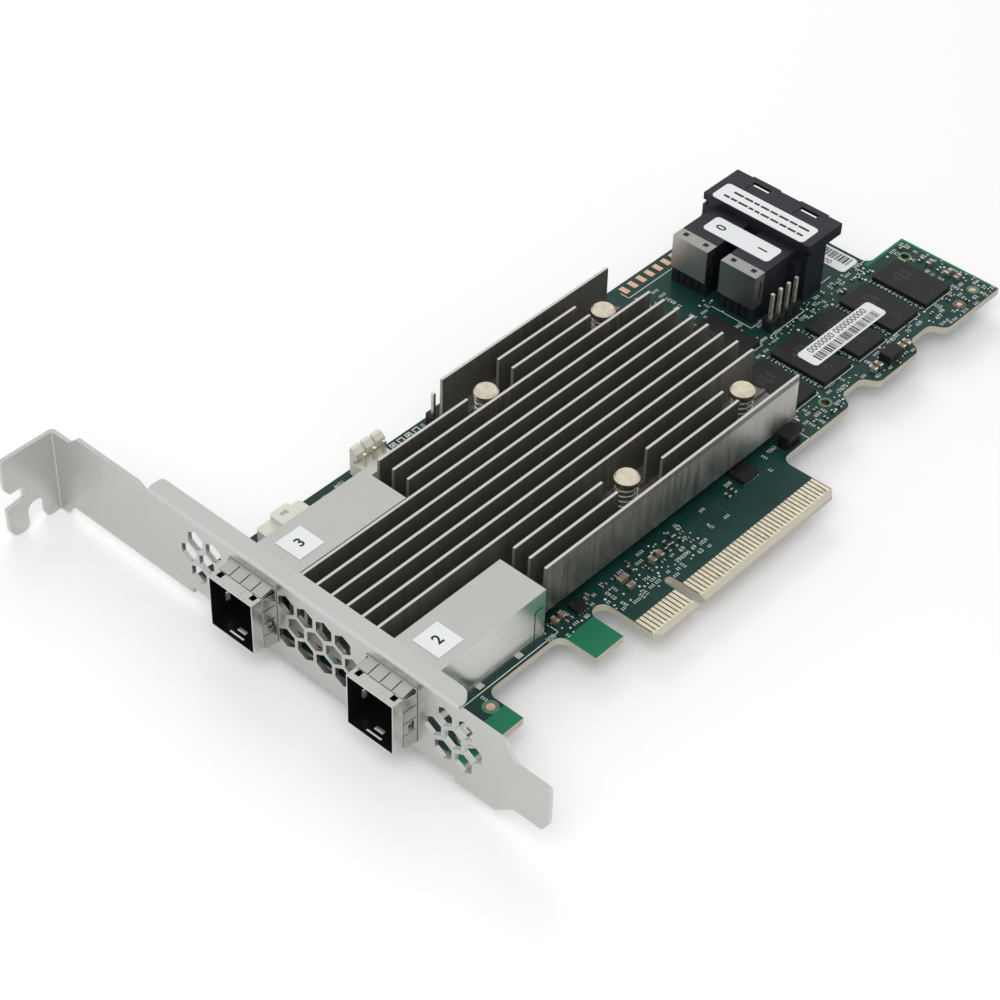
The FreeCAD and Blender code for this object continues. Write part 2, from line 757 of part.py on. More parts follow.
def receptacle_limits(centre_y):
    """Outer limits of the plastic receptacle inside a cage."""
    x = (cage_rear_x - receptacle_depth + receptacle_clear, cage_rear_x - cage_wall - receptacle_clear)
    y = around(centre_y, cage_w - 2 * cage_wall - 2 * receptacle_clear)
    return x, y


def make_receptacle(centre_y):
    """Moulded receptacle at the back of the cage, with two slots for the plug's paddle cards."""
    x, y = receptacle_limits(centre_y)
    top = cage_h - cage_wall - receptacle_clear
    step_x = x[0] + receptacle_step
    nose_x = x[0] - receptacle_nose
    nose_z = (paddle_slot_z[0] - receptacle_lip[0], paddle_slot_z[1] + receptacle_lip[1])
    profile = [
        (x[0], 0), (x[1], 0), (x[1], top), (step_x, top), (step_x, nose_z[1]),
        (nose_x, nose_z[1]), (nose_x, nose_z[0]), (x[0], nose_z[0]),
    ]
    body = outline(profile, on_y(y[0])).extrude(V(0, y[1] - y[0], 0))
    slots = [block((nose_x, x[1] - paddle_slot_floor), around(centre_y, paddle_slot_w),
                   around(z, paddle_slot_h)) for z in paddle_slot_z]
    return body.cut(slots)


def make_port_contacts(centre_y):
    """Spring contacts along the roof and floor of both paddle slots."""
    x, _ = receptacle_limits(centre_y)
    blades = []
    for z in paddle_slot_z:
        for side in (-1, 1):
            face_z = z + side * paddle_slot_h / 2
            lift = sorted((face_z, face_z - side * port_contact_t))
            for i in range(port_contact_count):
                y = centre_y + (i - (port_contact_count - 1) / 2) * port_contact_pitch
                blades.append(block((x[0] - receptacle_nose + port_contact_set_back,
                                     x[1] - paddle_slot_floor), around(y, port_contact_w), lift))
    return Part.makeCompound(blades)


# ================================================================ heat sink
def fin_y(index):
    """Middle of a fin, counted from the top edge of the card."""
    return fin_first_y - index * fin_pitch


def pin_places():
    """Centres of the four spring pins."""
    places = []
    for (first, last), offset in zip(pin_row_fins, pin_y_offset):
        y = (fin_y(first) + fin_y(last)) / 2 + offset
        places += [(x, y) for x in pin_x]
    return places


def chip_centre():
    """Middle of the main processor, between the four pins."""
    places = pin_places()
    return sum((V(x, y, 0) for x, y in places), V()) / len(places)


def comb_profile():
    """Cross-section of the extruded heat sink: base and tapered fins, as (y, z) corners."""
    corners = [
        (fin_y(fin_count - 1) - sink_edge, sink_bottom_z),
        (fin_first_y + sink_edge, sink_bottom_z),
        (fin_first_y + sink_edge, sink_base_z - fin_foot_drop),
    ]
    for i in range(fin_count):
        y = fin_y(i)
        corners += [
            (y + fin_root_t / 2, sink_base_z),
            (y + fin_tip_t / 2, fin_top_z),
            (y - fin_tip_t / 2, fin_top_z),
            (y - fin_root_t / 2, sink_base_z),
        ]
    corners[3] = (fin_first_y + fin_root_t / 2, sink_base_z - fin_foot_drop)
    return corners


def make_heat_sink():
    """Extruded comb cut to its stepped outline, with pockets milled around the pins."""
    left = sink_wing_x
    comb = outline(comb_profile(), on_x(left)).extrude(V(sink_x[1] - left, 0, 0))
    wing_y = (fin_y(sink_wing_fins[1]) - sink_edge, fin_y(sink_wing_fins[0]) + sink_edge)
    low_y = fin_y(fin_count - 1) - sink_edge
    high_y = fin_first_y + sink_edge
    inner_y = fin_y(2) + fin_root_t / 2 + sink_mill_margin
    plan = [
        (left, wing_y[0]), (sink_x[0], wing_y[0]), (sink_x[0], low_y), (sink_x[1], low_y),
        (sink_x[1], high_y), (sink_step_x, high_y), (sink_step_x, inner_y), (sink_x[0], inner_y),
        (sink_x[0], wing_y[1]), (left, wing_y[1]),
    ]
    sink = comb.common(slab(plan, sink_bottom_z, fin_top_z))
    cuts = []
    floor_z = sink_base_z + fin_stub_h
    margin = fin_pitch * pocket_margin
    ends_x = (sink_pocket_x[0] + sink_pocket_len, sink_x[1])
    for first, last in pin_row_fins:
        side = (fin_y(last) - margin, fin_y(first) + margin)
        for start_x, end_x in zip(sink_pocket_x, ends_x):
            cuts.append(block((start_x, end_x), side, (floor_z, fin_top_z)))
    seat = 2 * (pin_head_r + pin_hole_clear)
    for x, y in pin_places():
        cuts.append(block(around(x, seat), around(y, seat), (sink_base_z, floor_z)))
        cuts.append(rod(pin_shank_r + pin_hole_clear, x, y, sink_bottom_z, sink_base_z))
    return sink.cut(cuts)


def make_pins():
    """Shouldered spring pins with a chamfered head and a flat barb under the board."""
    shoulder_z = fin_top_z - pin_head_h
    barb_z = -board_t - pin_barb_gap
    tip_z = barb_z - pin_barb_h
    profile = [
        (0, barb_z), (pin_shank_r, barb_z), (pin_shank_r, shoulder_z), (pin_head_r, shoulder_z),
        (pin_head_r, fin_top_z - pin_chamfer), (pin_head_r - pin_chamfer, fin_top_z), (0, fin_top_z),
    ]
    arrow = [(-pin_barb_tip, tip_z), (pin_barb_tip, tip_z), (pin_barb_r, barb_z), (-pin_barb_r, barb_z)]
    turned = outline(profile, on_y(0)).revolve(V(0, 0, 0), V(0, 0, 1), 360)
    barb = outline(arrow, on_y(-pin_barb_t / 2)).extrude(V(0, pin_barb_t, 0))
    pin = fused([turned, barb])
    pins = []
    for x, y in pin_places():
        placed = pin.copy()
        placed.translate(V(x, y, 0))
        pins.append(placed)
    return Part.makeCompound(pins)


def make_springs():
    """Coil springs between the heat sink's base and the pin heads, as short straight runs."""
    half = spring_wire / 2
    low = sink_base_z + half + spring_gap
    high = fin_top_z - pin_head_h - half - spring_gap
    coil_r = pin_head_r - half - spring_inset
    runs = spring_turns * spring_turn_runs
    sections = []
    for i in range(runs + 1):
        z = low + (high - low) * i / runs
        square = [V(coil_r + du, 0, z + dz)
                  for du, dz in ((-half, -half), (half, -half), (half, half), (-half, half))]
        wire = Part.makePolygon(square + square[:1])
        wire.rotate(V(0, 0, 0), V(0, 0, 1), 360 * i / spring_turn_runs)
        sections.append(wire)
    coil = Part.makeLoft(sections, True, True)
    springs = []
    for x, y in pin_places():
        spring = coil.copy()
        spring.translate(V(x, y, 0))
        springs.append(spring)
    return Part.makeCompound(springs)


def make_chip_substrate():
    """Square carrier of the main processor under the heat sink."""
    x = around(chip_centre().x, chip_size)
    y = around(chip_centre().y, chip_size)
    return block(x, y, (0, chip_t))


def make_chip_lid():
    """Metal lid on the carrier with cut corners."""
    x = around(chip_centre().x, lid_size)
    y = around(chip_centre().y, lid_size)
    return slab(cut_rectangle(x, y, lid_corner), chip_t, chip_t + lid_t)


def make_thermal_pad():
    """Soft pad that fills the space from the lid to the heat sink."""
    size = lid_size - 2 * lid_corner
    x = around(chip_centre().x, size)
    y = around(chip_centre().y, size)
    return block(x, y, (chip_t + lid_t, sink_bottom_z))


# ================================================================ internal double connector
def module_centres():
    """Middle of the two connector modules."""
    return [jack_centre_y + side * jack_module_pitch / 2 for side in (-1, 1)]


def make_module(centre_y):
    """Rear module: core under the metal shell, slitted base and a shoulder on its outer side."""
    core_x = jack_rear_x + jack_shell_t
    base_x = core_x + jack_base_inset
    shell_end_x = jack_rear_x + jack_shell_depth
    core_top_z = jack_module_h - jack_shell_t
    profile = [
        (base_x, 0), (jack_x, 0), (jack_x, jack_module_h), (shell_end_x, jack_module_h),
        (shell_end_x, core_top_z), (core_x, core_top_z), (core_x, jack_shell_bottom_z),
        (base_x, jack_shell_bottom_z),
    ]
    module = outline(profile, on_y(centre_y - jack_module_w / 2)).extrude(V(0, jack_module_w, 0))
    cuts = []
    for side in (-1, 1):
        edge = centre_y + side * jack_module_w / 2
        skin = sorted((edge, edge - side * jack_shell_t))
        cuts.append(block((core_x, shell_end_x), skin, (jack_shell_bottom_z, jack_module_h)))
    spacing = jack_module_w / (jack_base_slit_count + 1)
    for i in range(jack_base_slit_count):
        slit_y = around(centre_y - jack_module_w / 2 + (i + 1) * spacing, jack_base_slit[1])
        cuts.append(block((base_x, base_x + jack_base_slit[0]), slit_y, (0, jack_shell_bottom_z)))
    return module.cut(cuts)


def make_housing():
    """Moulded housing: two rear modules, a tall mounting flange and a roof over the mouths."""
    front_x = jack_x + jack_flange_t
    roof_x = front_x + jack_roof_reach
    flange_side = around(jack_centre_y + jack_flange_shift, jack_flange_w)
    roof_z = jack_flange_h - jack_roof_t
    web_z = jack_flange_h - jack_roof_web
    profile = [
        (jack_x, 0), (front_x, 0), (front_x, roof_z), (roof_x, roof_z), (roof_x, jack_flange_h),
        (jack_x, jack_flange_h),
    ]
    solids = [outline(profile, on_y(flange_side[0])).extrude(V(0, jack_flange_w, 0))]
    cuts = []
    for side, y in zip((-1, 1), module_centres()):
        solids.append(make_module(y))
        solids.append(block((roof_x, roof_x + jack_lug_h), around(y, jack_lug_w), (web_z, jack_flange_h)))
        edge = y + side * jack_module_w / 2
        length, width, height = jack_shoulder
        shoulder_side = sorted((edge, edge + side * width))
        solids.append(block((jack_x - length, jack_x), shoulder_side, (0, height)))
        cuts.append(block((jack_x, front_x), around(y, jack_mouth_w), jack_mouth_z))
        cuts.append(block((front_x - jack_mouth_depth, jack_x), around(y, jack_throat_w), jack_mouth_z))
        cuts.append(block((front_x, roof_x), around(y, jack_roof_pocket_w), (roof_z, web_z)))
        slot_x = (roof_x - jack_slot_inset - jack_slot[0], roof_x - jack_slot_inset)
        cuts.append(block(slot_x, around(y, jack_slot[1]), (web_z, jack_flange_h)))
        length, width, depth = jack_groove
        groove_y = (y + jack_slot[1] / 2 - width, y + jack_slot[1] / 2)
        groove_x = (slot_x[0] - length, slot_x[0])
        cuts.append(block(groove_x, groove_y, (jack_flange_h - depth, jack_flange_h)))
    for end_y, side in zip(flange_side, (1, -1)):
        length, width, height = jack_end_notch
        notch_z = (jack_end_notch_z, jack_end_notch_z + height)
        cuts.append(block((jack_x, jack_x + length), sorted((end_y, end_y + side * width)), notch_z))
    housing = fused(solids).cut(cuts)
    tongues = []
    tongue_x = (front_x - jack_mouth_depth, front_x - jack_mouth_depth + jack_tongue_len)
    for y in module_centres():
        for z in jack_tongue_z:
            tongues.append(block(tongue_x, around(y, jack_tongue_w), around(z, jack_tongue_t)))
    return fused([housing] + tongues)


def make_jack_shell(centre_y):
    """Thin metal cap over the top, back and sides of one rear module."""
    x = (jack_rear_x, jack_rear_x + jack_shell_depth)
    z = (jack_shell_bottom_z, jack_module_h)
    cap = block(x, around(centre_y, jack_module_w), z)
    core = block((x[0] + jack_shell_t, x[1]), around(centre_y, jack_module_w - 2 * jack_shell_t),
                 (z[0], z[1] - jack_shell_t))
    holes = []
    for side in (-1, 1):
        hole_y = around(centre_y + side * jack_hole_offset, jack_hole)
        holes.append(block(around(x[0] + jack_hole_x, jack_hole), hole_y, (z[1] - jack_shell_t, z[1])))
        wall_y = around(centre_y + side * jack_module_w / 2, 2 * jack_shell_t)
        holes.append(block(around(x[0] + jack_shell_slit_x, jack_shell_slit[0]), wall_y,
                           around(sum(z) / 2, jack_shell_slit[1])))
    return cap.cut([core] + holes)


def make_jack_contacts():
    """Contact strips on both faces of the four mating tongues."""
    front_x = jack_x + jack_flange_t
    x = (front_x - jack_mouth_depth, front_x - jack_mouth_depth + jack_tongue_len - jack_contact_gap)
    strips = []
    for y in module_centres():
        for z in jack_tongue_z:
            for side in (-1, 1):
                face_z = z + side * jack_tongue_t / 2
                lift = sorted((face_z, face_z + side * jack_contact_t))
                for i in range(jack_contact_count):
                    strip_y = y + (i - (jack_contact_count - 1) / 2) * jack_contact_pitch
                    strips.append(block(x, around(strip_y, jack_contact_w), lift))
    return Part.makeCompound(strips)


# ================================================================ chips
def moulded_chip(x, y, height):
    """Flat moulded package with bevelled upper edges."""
    body = block(x, y, (0, height))
    rim = [edge for edge in body.Edges if edge.BoundBox.ZMin > height - 1e-6]
    return body.makeChamfer(chip_chamfer, rim)


def make_memory(index):
    """One memory package of the row."""
    x = memory_first_x + index * memory_pitch
    return moulded_chip((x, x + memory_size[0]), (memory_y, memory_y + memory_size[1]), memory_h)


def make_flash():
    """Square flash package."""
    x, y = flash_corner
    return moulded_chip((x, x + flash_size[0]), (y, y + flash_size[1]), flash_h)


def make_small_chips():
    """Small regulators and logic packages, as separate solids."""
    chips = []
    for x, y, length, width, height in small_chips:
        chips.append(block((x, x + length), (y, y + width), (0, height)))
    return Part.makeCompound(chips)


def make_inductor():
    """Power inductor with cut corners."""
    x, y, length, width, height = inductor
    return slab(cut_rectangle((x, x + length), (y, y + width), inductor_cut), 0, height)


def two_ended(places, end_column_y, size):
    """Small two-ended components along or across the board, with those of the end column."""
    column = [(memory_end_x + end_column_gap, y, 0) for y in end_column_y]
    solids = []
    for x, y, turn in list(places) + column:
        length, width, height = size
        body = block(around(0, length), around(0, width), (0, height))
        body.rotate(V(0, 0, 0), V(0, 0, 1), turn)
        body.translate(V(x, y, 0))
        solids.append(body)
    return Part.makeCompound(solids)


def make_bulk_capacitor():
    """Larger moulded capacitor."""
    x, y, length, width, height = bulk_capacitor
    return block(around(x, length), around(y, width), (0, height))


# ================================================================ headers and small connectors
def make_header(first, count, top):
    """Pin header: notched plastic strip and square pins; returns both."""
    x0, y0 = first
    modules = []
    pins = []
    for i in range(count):
        x = x0 + i * header_pitch
        side_x = around(x, header_pitch)
        side_y = around(y0, header_body_w)
        module = slab(cut_rectangle(side_x, side_y, header_chamfer), 0, header_body_h)
        hole = block(around(x, header_pin_w), around(y0, header_pin_w), (0, header_body_h))
        modules.append(module.cut(hole))
        pins.append(block(around(x, header_pin_w), around(y0, header_pin_w), (0, top)))
    return fused(modules), Part.makeCompound(pins)


def make_lock_connector():
    """Tall three-way connector: base block in front of a three-part locking wall."""
    wall_y = lock_y[1] - lock_wall_t
    nose_y = wall_y - lock_nose
    low_nose_z, high_nose_z = lock_nose_z
    profile = [
        (lock_y[0], 0), (lock_y[1], 0), (lock_y[1], lock_h), (lock_y[1] - lock_head_t, lock_h),
        (nose_y, high_nose_z), (nose_y, low_nose_z), (wall_y, low_nose_z - lock_nose / 2),
        (wall_y, lock_base_h), (lock_y[0], lock_base_h),
    ]
    body = outline(profile, on_x(lock_x[0])).extrude(V(lock_x[1] - lock_x[0], 0, 0))
    third = (lock_x[1] - lock_x[0]) / 3
    cuts = []
    for i in (1, 2):
        gap_x = around(lock_x[0] + i * third, lock_gap)
        cuts.append(block(gap_x, (nose_y, lock_y[1]), (lock_base_h + lock_gap_rise, lock_h)))
    for x, y in lock_pin_places():
        cuts.append(block(around(x, lock_pin_w), around(y, lock_pin_w), (0, lock_base_h)))
    return body.cut(cuts)


def lock_pin_places():
    """Pin centres of the tall connector."""
    middle = (lock_x[0] + lock_x[1]) / 2
    y = lock_y[1] - lock_wall_t - lock_pin_to_wall
    return [(middle + i * header_pitch, y) for i in (-1, 0, 1)]


def make_lock_pins():
    """Square pins of the tall connector."""
    pins = []
    for x, y in lock_pin_places():
        pins.append(block(around(x, lock_pin_w), around(y, lock_pin_w), (0, lock_pin_top)))
    return Part.makeCompound(pins)


def make_low_connector():
    """Low side-entry connector with a raised middle and a mouth towards the top edge."""
    base = slab(cut_rectangle(low_x, low_y, low_corner), 0, low_h)
    cap_y = (low_y[0] + low_cap_inset[0], low_y[1] - low_cap_inset[1])
    cap = slab(cut_rectangle(low_cap_x, cap_y, low_corner), low_h, low_cap_h)
    mouth = block((low_x[0] + low_wall, low_x[1] - low_wall), (low_y[1] - low_mouth_depth, low_y[1]),
                  (low_wall, low_wall + low_mouth_h))
    window_y = cap_y[1] - low_window_inset - low_window[1] / 2
    window = block(around(sum(low_cap_x) / 2, low_window[0]), around(window_y, low_window[1]),
                   (low_cap_h - low_window_depth, low_cap_h))
    return fused([base, cap]).cut([mouth, window])


def make_low_pins():
    """Contacts inside the low connector's mouth."""
    pitch = (low_x[1] - low_x[0] - 2 * low_wall) / (low_pin_count + 1)
    pins = []
    for i in range(low_pin_count):
        x = low_x[0] + low_wall + (i + 1) * pitch
        y = (low_y[1] - low_mouth_depth, low_y[1] - low_pin_set_back)
        pins.append(block(around(x, low_pin_w), y, (low_wall, low_wall + low_pin_w)))
    return Part.makeCompound(pins)


# ================================================================ labels
def make_port_labels():
    """Square labels on top of the two cages."""
    labels = []
    for i, centre_y in enumerate(port_centre_y):
        y = around(centre_y + port_label_y_offset[i], port_label)
        labels.append(block(around(port_label_x[i], port_label), y, (cage_h, cage_h + label_t)))
    return Part.makeCompound(labels)


def make_jack_label():
    """Port-number label across the tops of both rear modules."""
    x = (jack_x - jack_label_gap - jack_label[0], jack_x - jack_label_gap)
    y = around(jack_centre_y + jack_label_shift, jack_label[1])
    return slab(cut_rectangle(x, y, label_cut), jack_module_h, jack_module_h + label_t)


def make_flange_label():
    """Long label on top of the mounting flange."""
    x = around(jack_x + jack_flange_t / 2 + flange_label_shift[0], flange_label[0])
    y = around(jack_centre_y + flange_label_shift[1], flange_label[1])
    return slab(cut_rectangle(x, y, label_cut), jack_flange_h, jack_flange_h + label_t)


def make_memory_label():
    """Label stuck across three memory packages."""
    return slab(cut_rectangle(memory_label_x, memory_label_y, label_cut), memory_h, memory_h + label_t)


def make_serial_label():
    """Long label on the board beside the internal connector."""
    return block(serial_label_x, serial_label_y, (0, label_t))


# ================================================================ assembly
def make_all():
    """Every piece of the card by its name."""
    pin_header, pin_header_pins = make_header(header_first, header_pins, header_pin_top)
    jumper, jumper_posts = make_header(jumper_first, jumper_pins, jumper_pin_top)
    pieces = {
        "circuit_board": make_board(),
        "edge_contacts": make_contacts(),
        "board_lands": make_lands(),
        "bracket": make_bracket(),
        "bracket_screws": make_screws(),
        "heat_sink": make_heat_sink(),
        "heat_sink_pins": make_pins(),
        "heat_sink_springs": make_springs(),
        "chip_substrate": make_chip_substrate(),
        "chip_lid": make_chip_lid(),
        "thermal_pad": make_thermal_pad(),
        "connector_housing": make_housing(),
        "connector_contacts": make_jack_contacts(),
        "flash_chip": make_flash(),
        "small_chips": make_small_chips(),
        "power_inductor": make_inductor(),
        "capacitors": two_ended(capacitors, end_capacitor_y, capacitor_size),
        "resistors": two_ended(resistors, end_resistor_y, resistor_size),
        "bulk_capacitor": make_bulk_capacitor(),
        "pin_header": pin_header,
        "pin_header_pins": pin_header_pins,
        "jumper_header": jumper,
        "jumper_header_pins": jumper_posts,
        "lock_connector": make_lock_connector(),
        "lock_connector_pins": make_lock_pins(),
        "side_connector": make_low_connector(),
        "side_connector_pins": make_low_pins(),
        "port_labels": make_port_labels(),
        "connector_label": make_jack_label(),
        "flange_label": make_flange_label(),
        "memory_label": make_memory_label(),
        "serial_label": make_serial_label(),
    }
    for number, y in enumerate(port_centre_y, 1):
        pieces[f"port_cage_{number}"] = make_cage(y)
        pieces[f"port_gasket_{number}"] = make_gasket(y)
        pieces[f"port_receptacle_{number}"] = make_receptacle(y)
        pieces[f"port_contacts_{number}"] = make_port_contacts(y)
    for number, y in enumerate(module_centres(), 1):
        pieces[f"connector_shell_{number}"] = make_jack_shell(y)
    for index in range(memory_count):
        pieces[f"memory_chip_{index + 1}"] = make_memory(index)
    return pieces


os.makedirs("parts", exist_ok=True)
for name, shape in make_all().items():
    shape.exportStep(f"parts/{name}.step")
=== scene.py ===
"""Dresses the disk controller card: finishes for its solids and the small pieces on its board.

Sizes are millimetres in the card's own frame, turned into metres where a mesh is placed: X runs
along the card away from the bracket, Y up from the edge connector, Z out of the component side.
"""
import logging
import math
import random
from dataclasses import dataclass, field
from enum import Enum

import bmesh
import bpy
from mathutils import Matrix, Vector
from mathutils.bvhtree import BVHTree


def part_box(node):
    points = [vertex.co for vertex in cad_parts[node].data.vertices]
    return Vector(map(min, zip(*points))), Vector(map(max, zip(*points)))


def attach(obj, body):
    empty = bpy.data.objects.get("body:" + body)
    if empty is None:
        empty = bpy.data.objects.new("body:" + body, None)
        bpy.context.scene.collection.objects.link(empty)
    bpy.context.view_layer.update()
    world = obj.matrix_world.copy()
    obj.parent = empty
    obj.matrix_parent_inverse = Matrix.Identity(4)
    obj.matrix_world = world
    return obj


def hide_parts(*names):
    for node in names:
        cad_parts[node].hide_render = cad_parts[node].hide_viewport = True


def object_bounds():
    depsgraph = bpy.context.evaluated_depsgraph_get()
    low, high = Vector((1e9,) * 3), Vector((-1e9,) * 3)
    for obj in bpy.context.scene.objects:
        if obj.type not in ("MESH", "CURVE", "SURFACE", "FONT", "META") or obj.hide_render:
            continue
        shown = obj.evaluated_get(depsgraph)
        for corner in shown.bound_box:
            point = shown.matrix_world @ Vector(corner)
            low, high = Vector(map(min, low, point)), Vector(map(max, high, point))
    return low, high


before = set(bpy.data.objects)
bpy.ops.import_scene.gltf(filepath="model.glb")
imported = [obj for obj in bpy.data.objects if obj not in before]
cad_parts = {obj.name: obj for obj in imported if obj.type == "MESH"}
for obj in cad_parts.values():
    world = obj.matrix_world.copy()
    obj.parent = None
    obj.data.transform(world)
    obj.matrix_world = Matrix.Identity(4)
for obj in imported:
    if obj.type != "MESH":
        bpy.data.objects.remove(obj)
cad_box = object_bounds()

MM = 0.001
ROOT = "root"
log = logging.getLogger("card")

Colour = tuple[float, float, float]
Triple = tuple[float, float, float]
Pair = tuple[float, float]
Material = bpy.types.Material
MEMORY = tuple(f"memory_chip_{i}" for i in range(1, 6))


def node_box(name: str) -> tuple[Vector, Vector]:
    """Lowest and highest corner of a solid, in millimetres."""
    low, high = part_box(name)
    return Vector(low) / MM, Vector(high) / MM


def shade(colour: Colour, factor: float) -> Colour:
    """A colour made lighter or darker, never past white."""
    return tuple(min(1.0, c * factor) for c in colour)


def middle_of(low: Vector, high: Vector) -> Vector:
    """Point halfway between two corners."""
    return (low + high) / 2


def rectangle(x: Pair, y: Pair) -> list[Pair]:
    """Corners of a rectangle, anticlockwise."""
    return [(x[0], y[0]), (x[1], y[0]), (x[1], y[1]), (x[0], y[1])]


def islands(node: str) -> list[tuple[Vector, Vector]]:
    """Corners of each separate solid of a node, in millimetres."""
    copy = bmesh.new()
    copy.from_mesh(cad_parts[node].data)
    bmesh.ops.remove_doubles(copy, verts=copy.verts, dist=1e-7)
    found = []
    seen = set()
    for start in copy.verts:
        if start in seen:
            continue
        seen.add(start)
        group, queue = [start], [start]
        while queue:
            for edge in queue.pop().link_edges:
                for vert in edge.verts:
                    if vert not in seen:
                        seen.add(vert)
                        group.append(vert)
                        queue.append(vert)
        spots = [v.co / MM for v in group]
        low = Vector([min(p[i] for p in spots) for i in range(3)])
        high = Vector([max(p[i] for p in spots) for i in range(3)])
        found.append((low, high))
    copy.free()
    return found


# ------------------------------------------------------------------ shader expressions
class Field:
    """A value, colour or vector that changes over a surface."""

    def __init__(self, art: "NodeArt", socket: bpy.types.NodeSocket) -> None:
        """Keeps the node tree and the output socket that gives the value."""
        self.art = art
        self.socket = socket

    def math(self, operation: str, other: "Field | float", swapped: bool = False) -> "Field":
        """Joins two values by a Math node.

        Args:
            operation: The Math node's operation.
            other: The second value.
            swapped: Whether the second value comes first.

        Returns:
            The result.
        """
        pair = (other, self) if swapped else (self, other)
        return self.art.node("ShaderNodeMath", {"operation": operation}, {0: pair[0], 1: pair[1]})

    def __add__(self, other: "Field | float") -> "Field":
        """Sum."""
        return self.math("ADD", other)

    def __radd__(self, other: float) -> "Field":
        """Sum with a number first."""
        return self.math("ADD", other, True)

    def __sub__(self, other: "Field | float") -> "Field":
        """Difference."""
        return self.math("SUBTRACT", other)

    def __rsub__(self, other: float) -> "Field":
        """Difference from a number."""
        return self.math("SUBTRACT", other, True)

    def __mul__(self, other: "Field | float") -> "Field":
        """Product."""
        return self.math("MULTIPLY", other)

    def __rmul__(self, other: float) -> "Field":
        """Product with a number first."""
        return self.math("MULTIPLY", other, True)

    def __gt__(self, other: "Field | float") -> "Field":
        """One where this value is larger, otherwise nought."""
        return self.math("GREATER_THAN", other)

    def __lt__(self, other: "Field | float") -> "Field":
        """One where this value is smaller, otherwise nought."""
        return self.math("LESS_THAN", other)

    def __mod__(self, other: float) -> "Field":
        """Remainder that is never negative."""
        return self.math("FLOORED_MODULO", other)

    def __abs__(self) -> "Field":
        """Size without sign."""
        return self.math("ABSOLUTE", 0.0)

    def within(self, low: float, high: float) -> "Field":
        """One between two limits, otherwise nought."""
        return (self > low) * (self < high)

    def either(self, other: "Field") -> "Field":
        """The larger of two masks."""
        return self.math("MAXIMUM", other)

    def ramp(self, low: float, high: float) -> "Field":
        """Rises from nought at the low value to one at the high value."""
        sockets = {"Value": self, "From Min": low, "From Max": high}
        return self.art.node("ShaderNodeMapRange", {"clamp": True}, sockets)


class NodeArt:
    """Node tree of a material or of the surroundings, written as expressions."""

    def __init__(self, owner: "Material | bpy.types.World", shader: str) -> None:
        """Opens the node tree of its owner and finds its shader by type."""
        owner.use_nodes = True
        self.owner = owner
        self.tree = owner.node_tree
        self.shader = next(n for n in self.tree.nodes if n.bl_idname == shader)

    @classmethod
    def surface(cls, name: str) -> "NodeArt":
        """Starts a new surface material."""
        return cls(bpy.data.materials.new(name), "ShaderNodeBsdfPrincipled")

    def node(self, kind: str, settings: dict, sockets: dict, output: int | str = 0) -> Field:
        """Adds a node.

        Args:
            kind: The node's type.
            settings: Its own settings, set before its sockets.
            sockets: A value or a Field for each input.
            output: Which output to hand back.

        Returns:
            The chosen output.
        """
        made = self.tree.nodes.new(kind)
        for key, value in settings.items():
            setattr(made, key, value)
        for key, value in sockets.items():
            self.plug(made.inputs[key], value)
        return Field(self, made.outputs[output])

    def plug(self, socket: bpy.types.NodeSocket, value: "Field | float | tuple") -> None:
        """Links a Field to an input, or sets a plain value on it."""
        if isinstance(value, Field):
            self.tree.links.new(value.socket, socket)
        elif isinstance(value, tuple) and len(socket.default_value) == 4:
            socket.default_value = (*value, 1.0)
        else:
            socket.default_value = value

    def place(self) -> Field:
        """Place on the object, in millimetres."""
        spot = self.node("ShaderNodeTexCoord", {}, {}, "Object")
        scale = {"Vector": spot, "Scale": 1.0 / MM}
        return self.node("ShaderNodeVectorMath", {"operation": "SCALE"}, scale)

    def axes(self) -> tuple[Field, Field, Field]:
        """X, Y and Z of the place, in millimetres."""
        place = self.place()
        return tuple(self.node("ShaderNodeSeparateXYZ", {}, {0: place}, i) for i in range(3))

    def facing(self, axis: int) -> Field:
        """How far a face looks along an axis, from minus one to one."""
        normal = self.node("ShaderNodeNewGeometry", {}, {}, "Normal")
        return self.node("ShaderNodeSeparateXYZ", {}, {0: normal}, axis)

    def noise(self, per_mm: float, detail: float = 2.0, stretch: Triple = (1.0, 1.0, 1.0)) -> Field:
        """Soft noise around one half.

        Args:
            per_mm: Ripples to a millimetre.
            detail: Octaves.
            stretch: Factor on each axis, below one for a streak along it.

        Returns:
            The noise.
        """
        spot = self.node("ShaderNodeMapping", {}, {"Vector": self.place(), "Scale": stretch})
        sockets = {"Vector": spot, "Scale": per_mm, "Detail": detail}
        return self.node("ShaderNodeTexNoise", {}, sockets, 0)

    def blend(self, low: "Field | Colour", high: "Field | Colour", mask: Field) -> Field:
        """Colour that goes from the first to the second with a mask."""
        return self.node("ShaderNodeMix", {"data_type": "RGBA"}, {0: mask, 6: low, 7: high}, 2)

    def relief(self, height: Field, depth_mm: float, strength: float = 1.0) -> None:
        """Raises the surface by a height field."""
        sockets = {"Height": height, "Distance": depth_mm * MM, "Strength": strength}
        self.plug(self.shader.inputs["Normal"], self.node("ShaderNodeBump", {}, sockets))

    def set(self, **sockets: "Field | float | tuple") -> None:
        """Sets the shader's sockets, named with underscores for spaces."""
        for key, value in sockets.items():
            label = key.replace("_", " ").title().replace("Ior", "IOR")
            self.plug(self.shader.inputs[label], value)


# ------------------------------------------------------------------ finishes
@dataclass(frozen=True)
class Finish:
    """Plain finish that the others refine."""

    name: str
    colour: Colour
    roughness: float = 0.5

    def material(self) -> Material:
        """Builds the node material of this finish."""
        art = NodeArt.surface(self.name)
        self.dress(art)
        return art.owner

    def dress(self, art: NodeArt) -> None:
        """Writes the finish into the material's nodes."""
        art.set(base_color=self.colour, roughness=self.roughness)


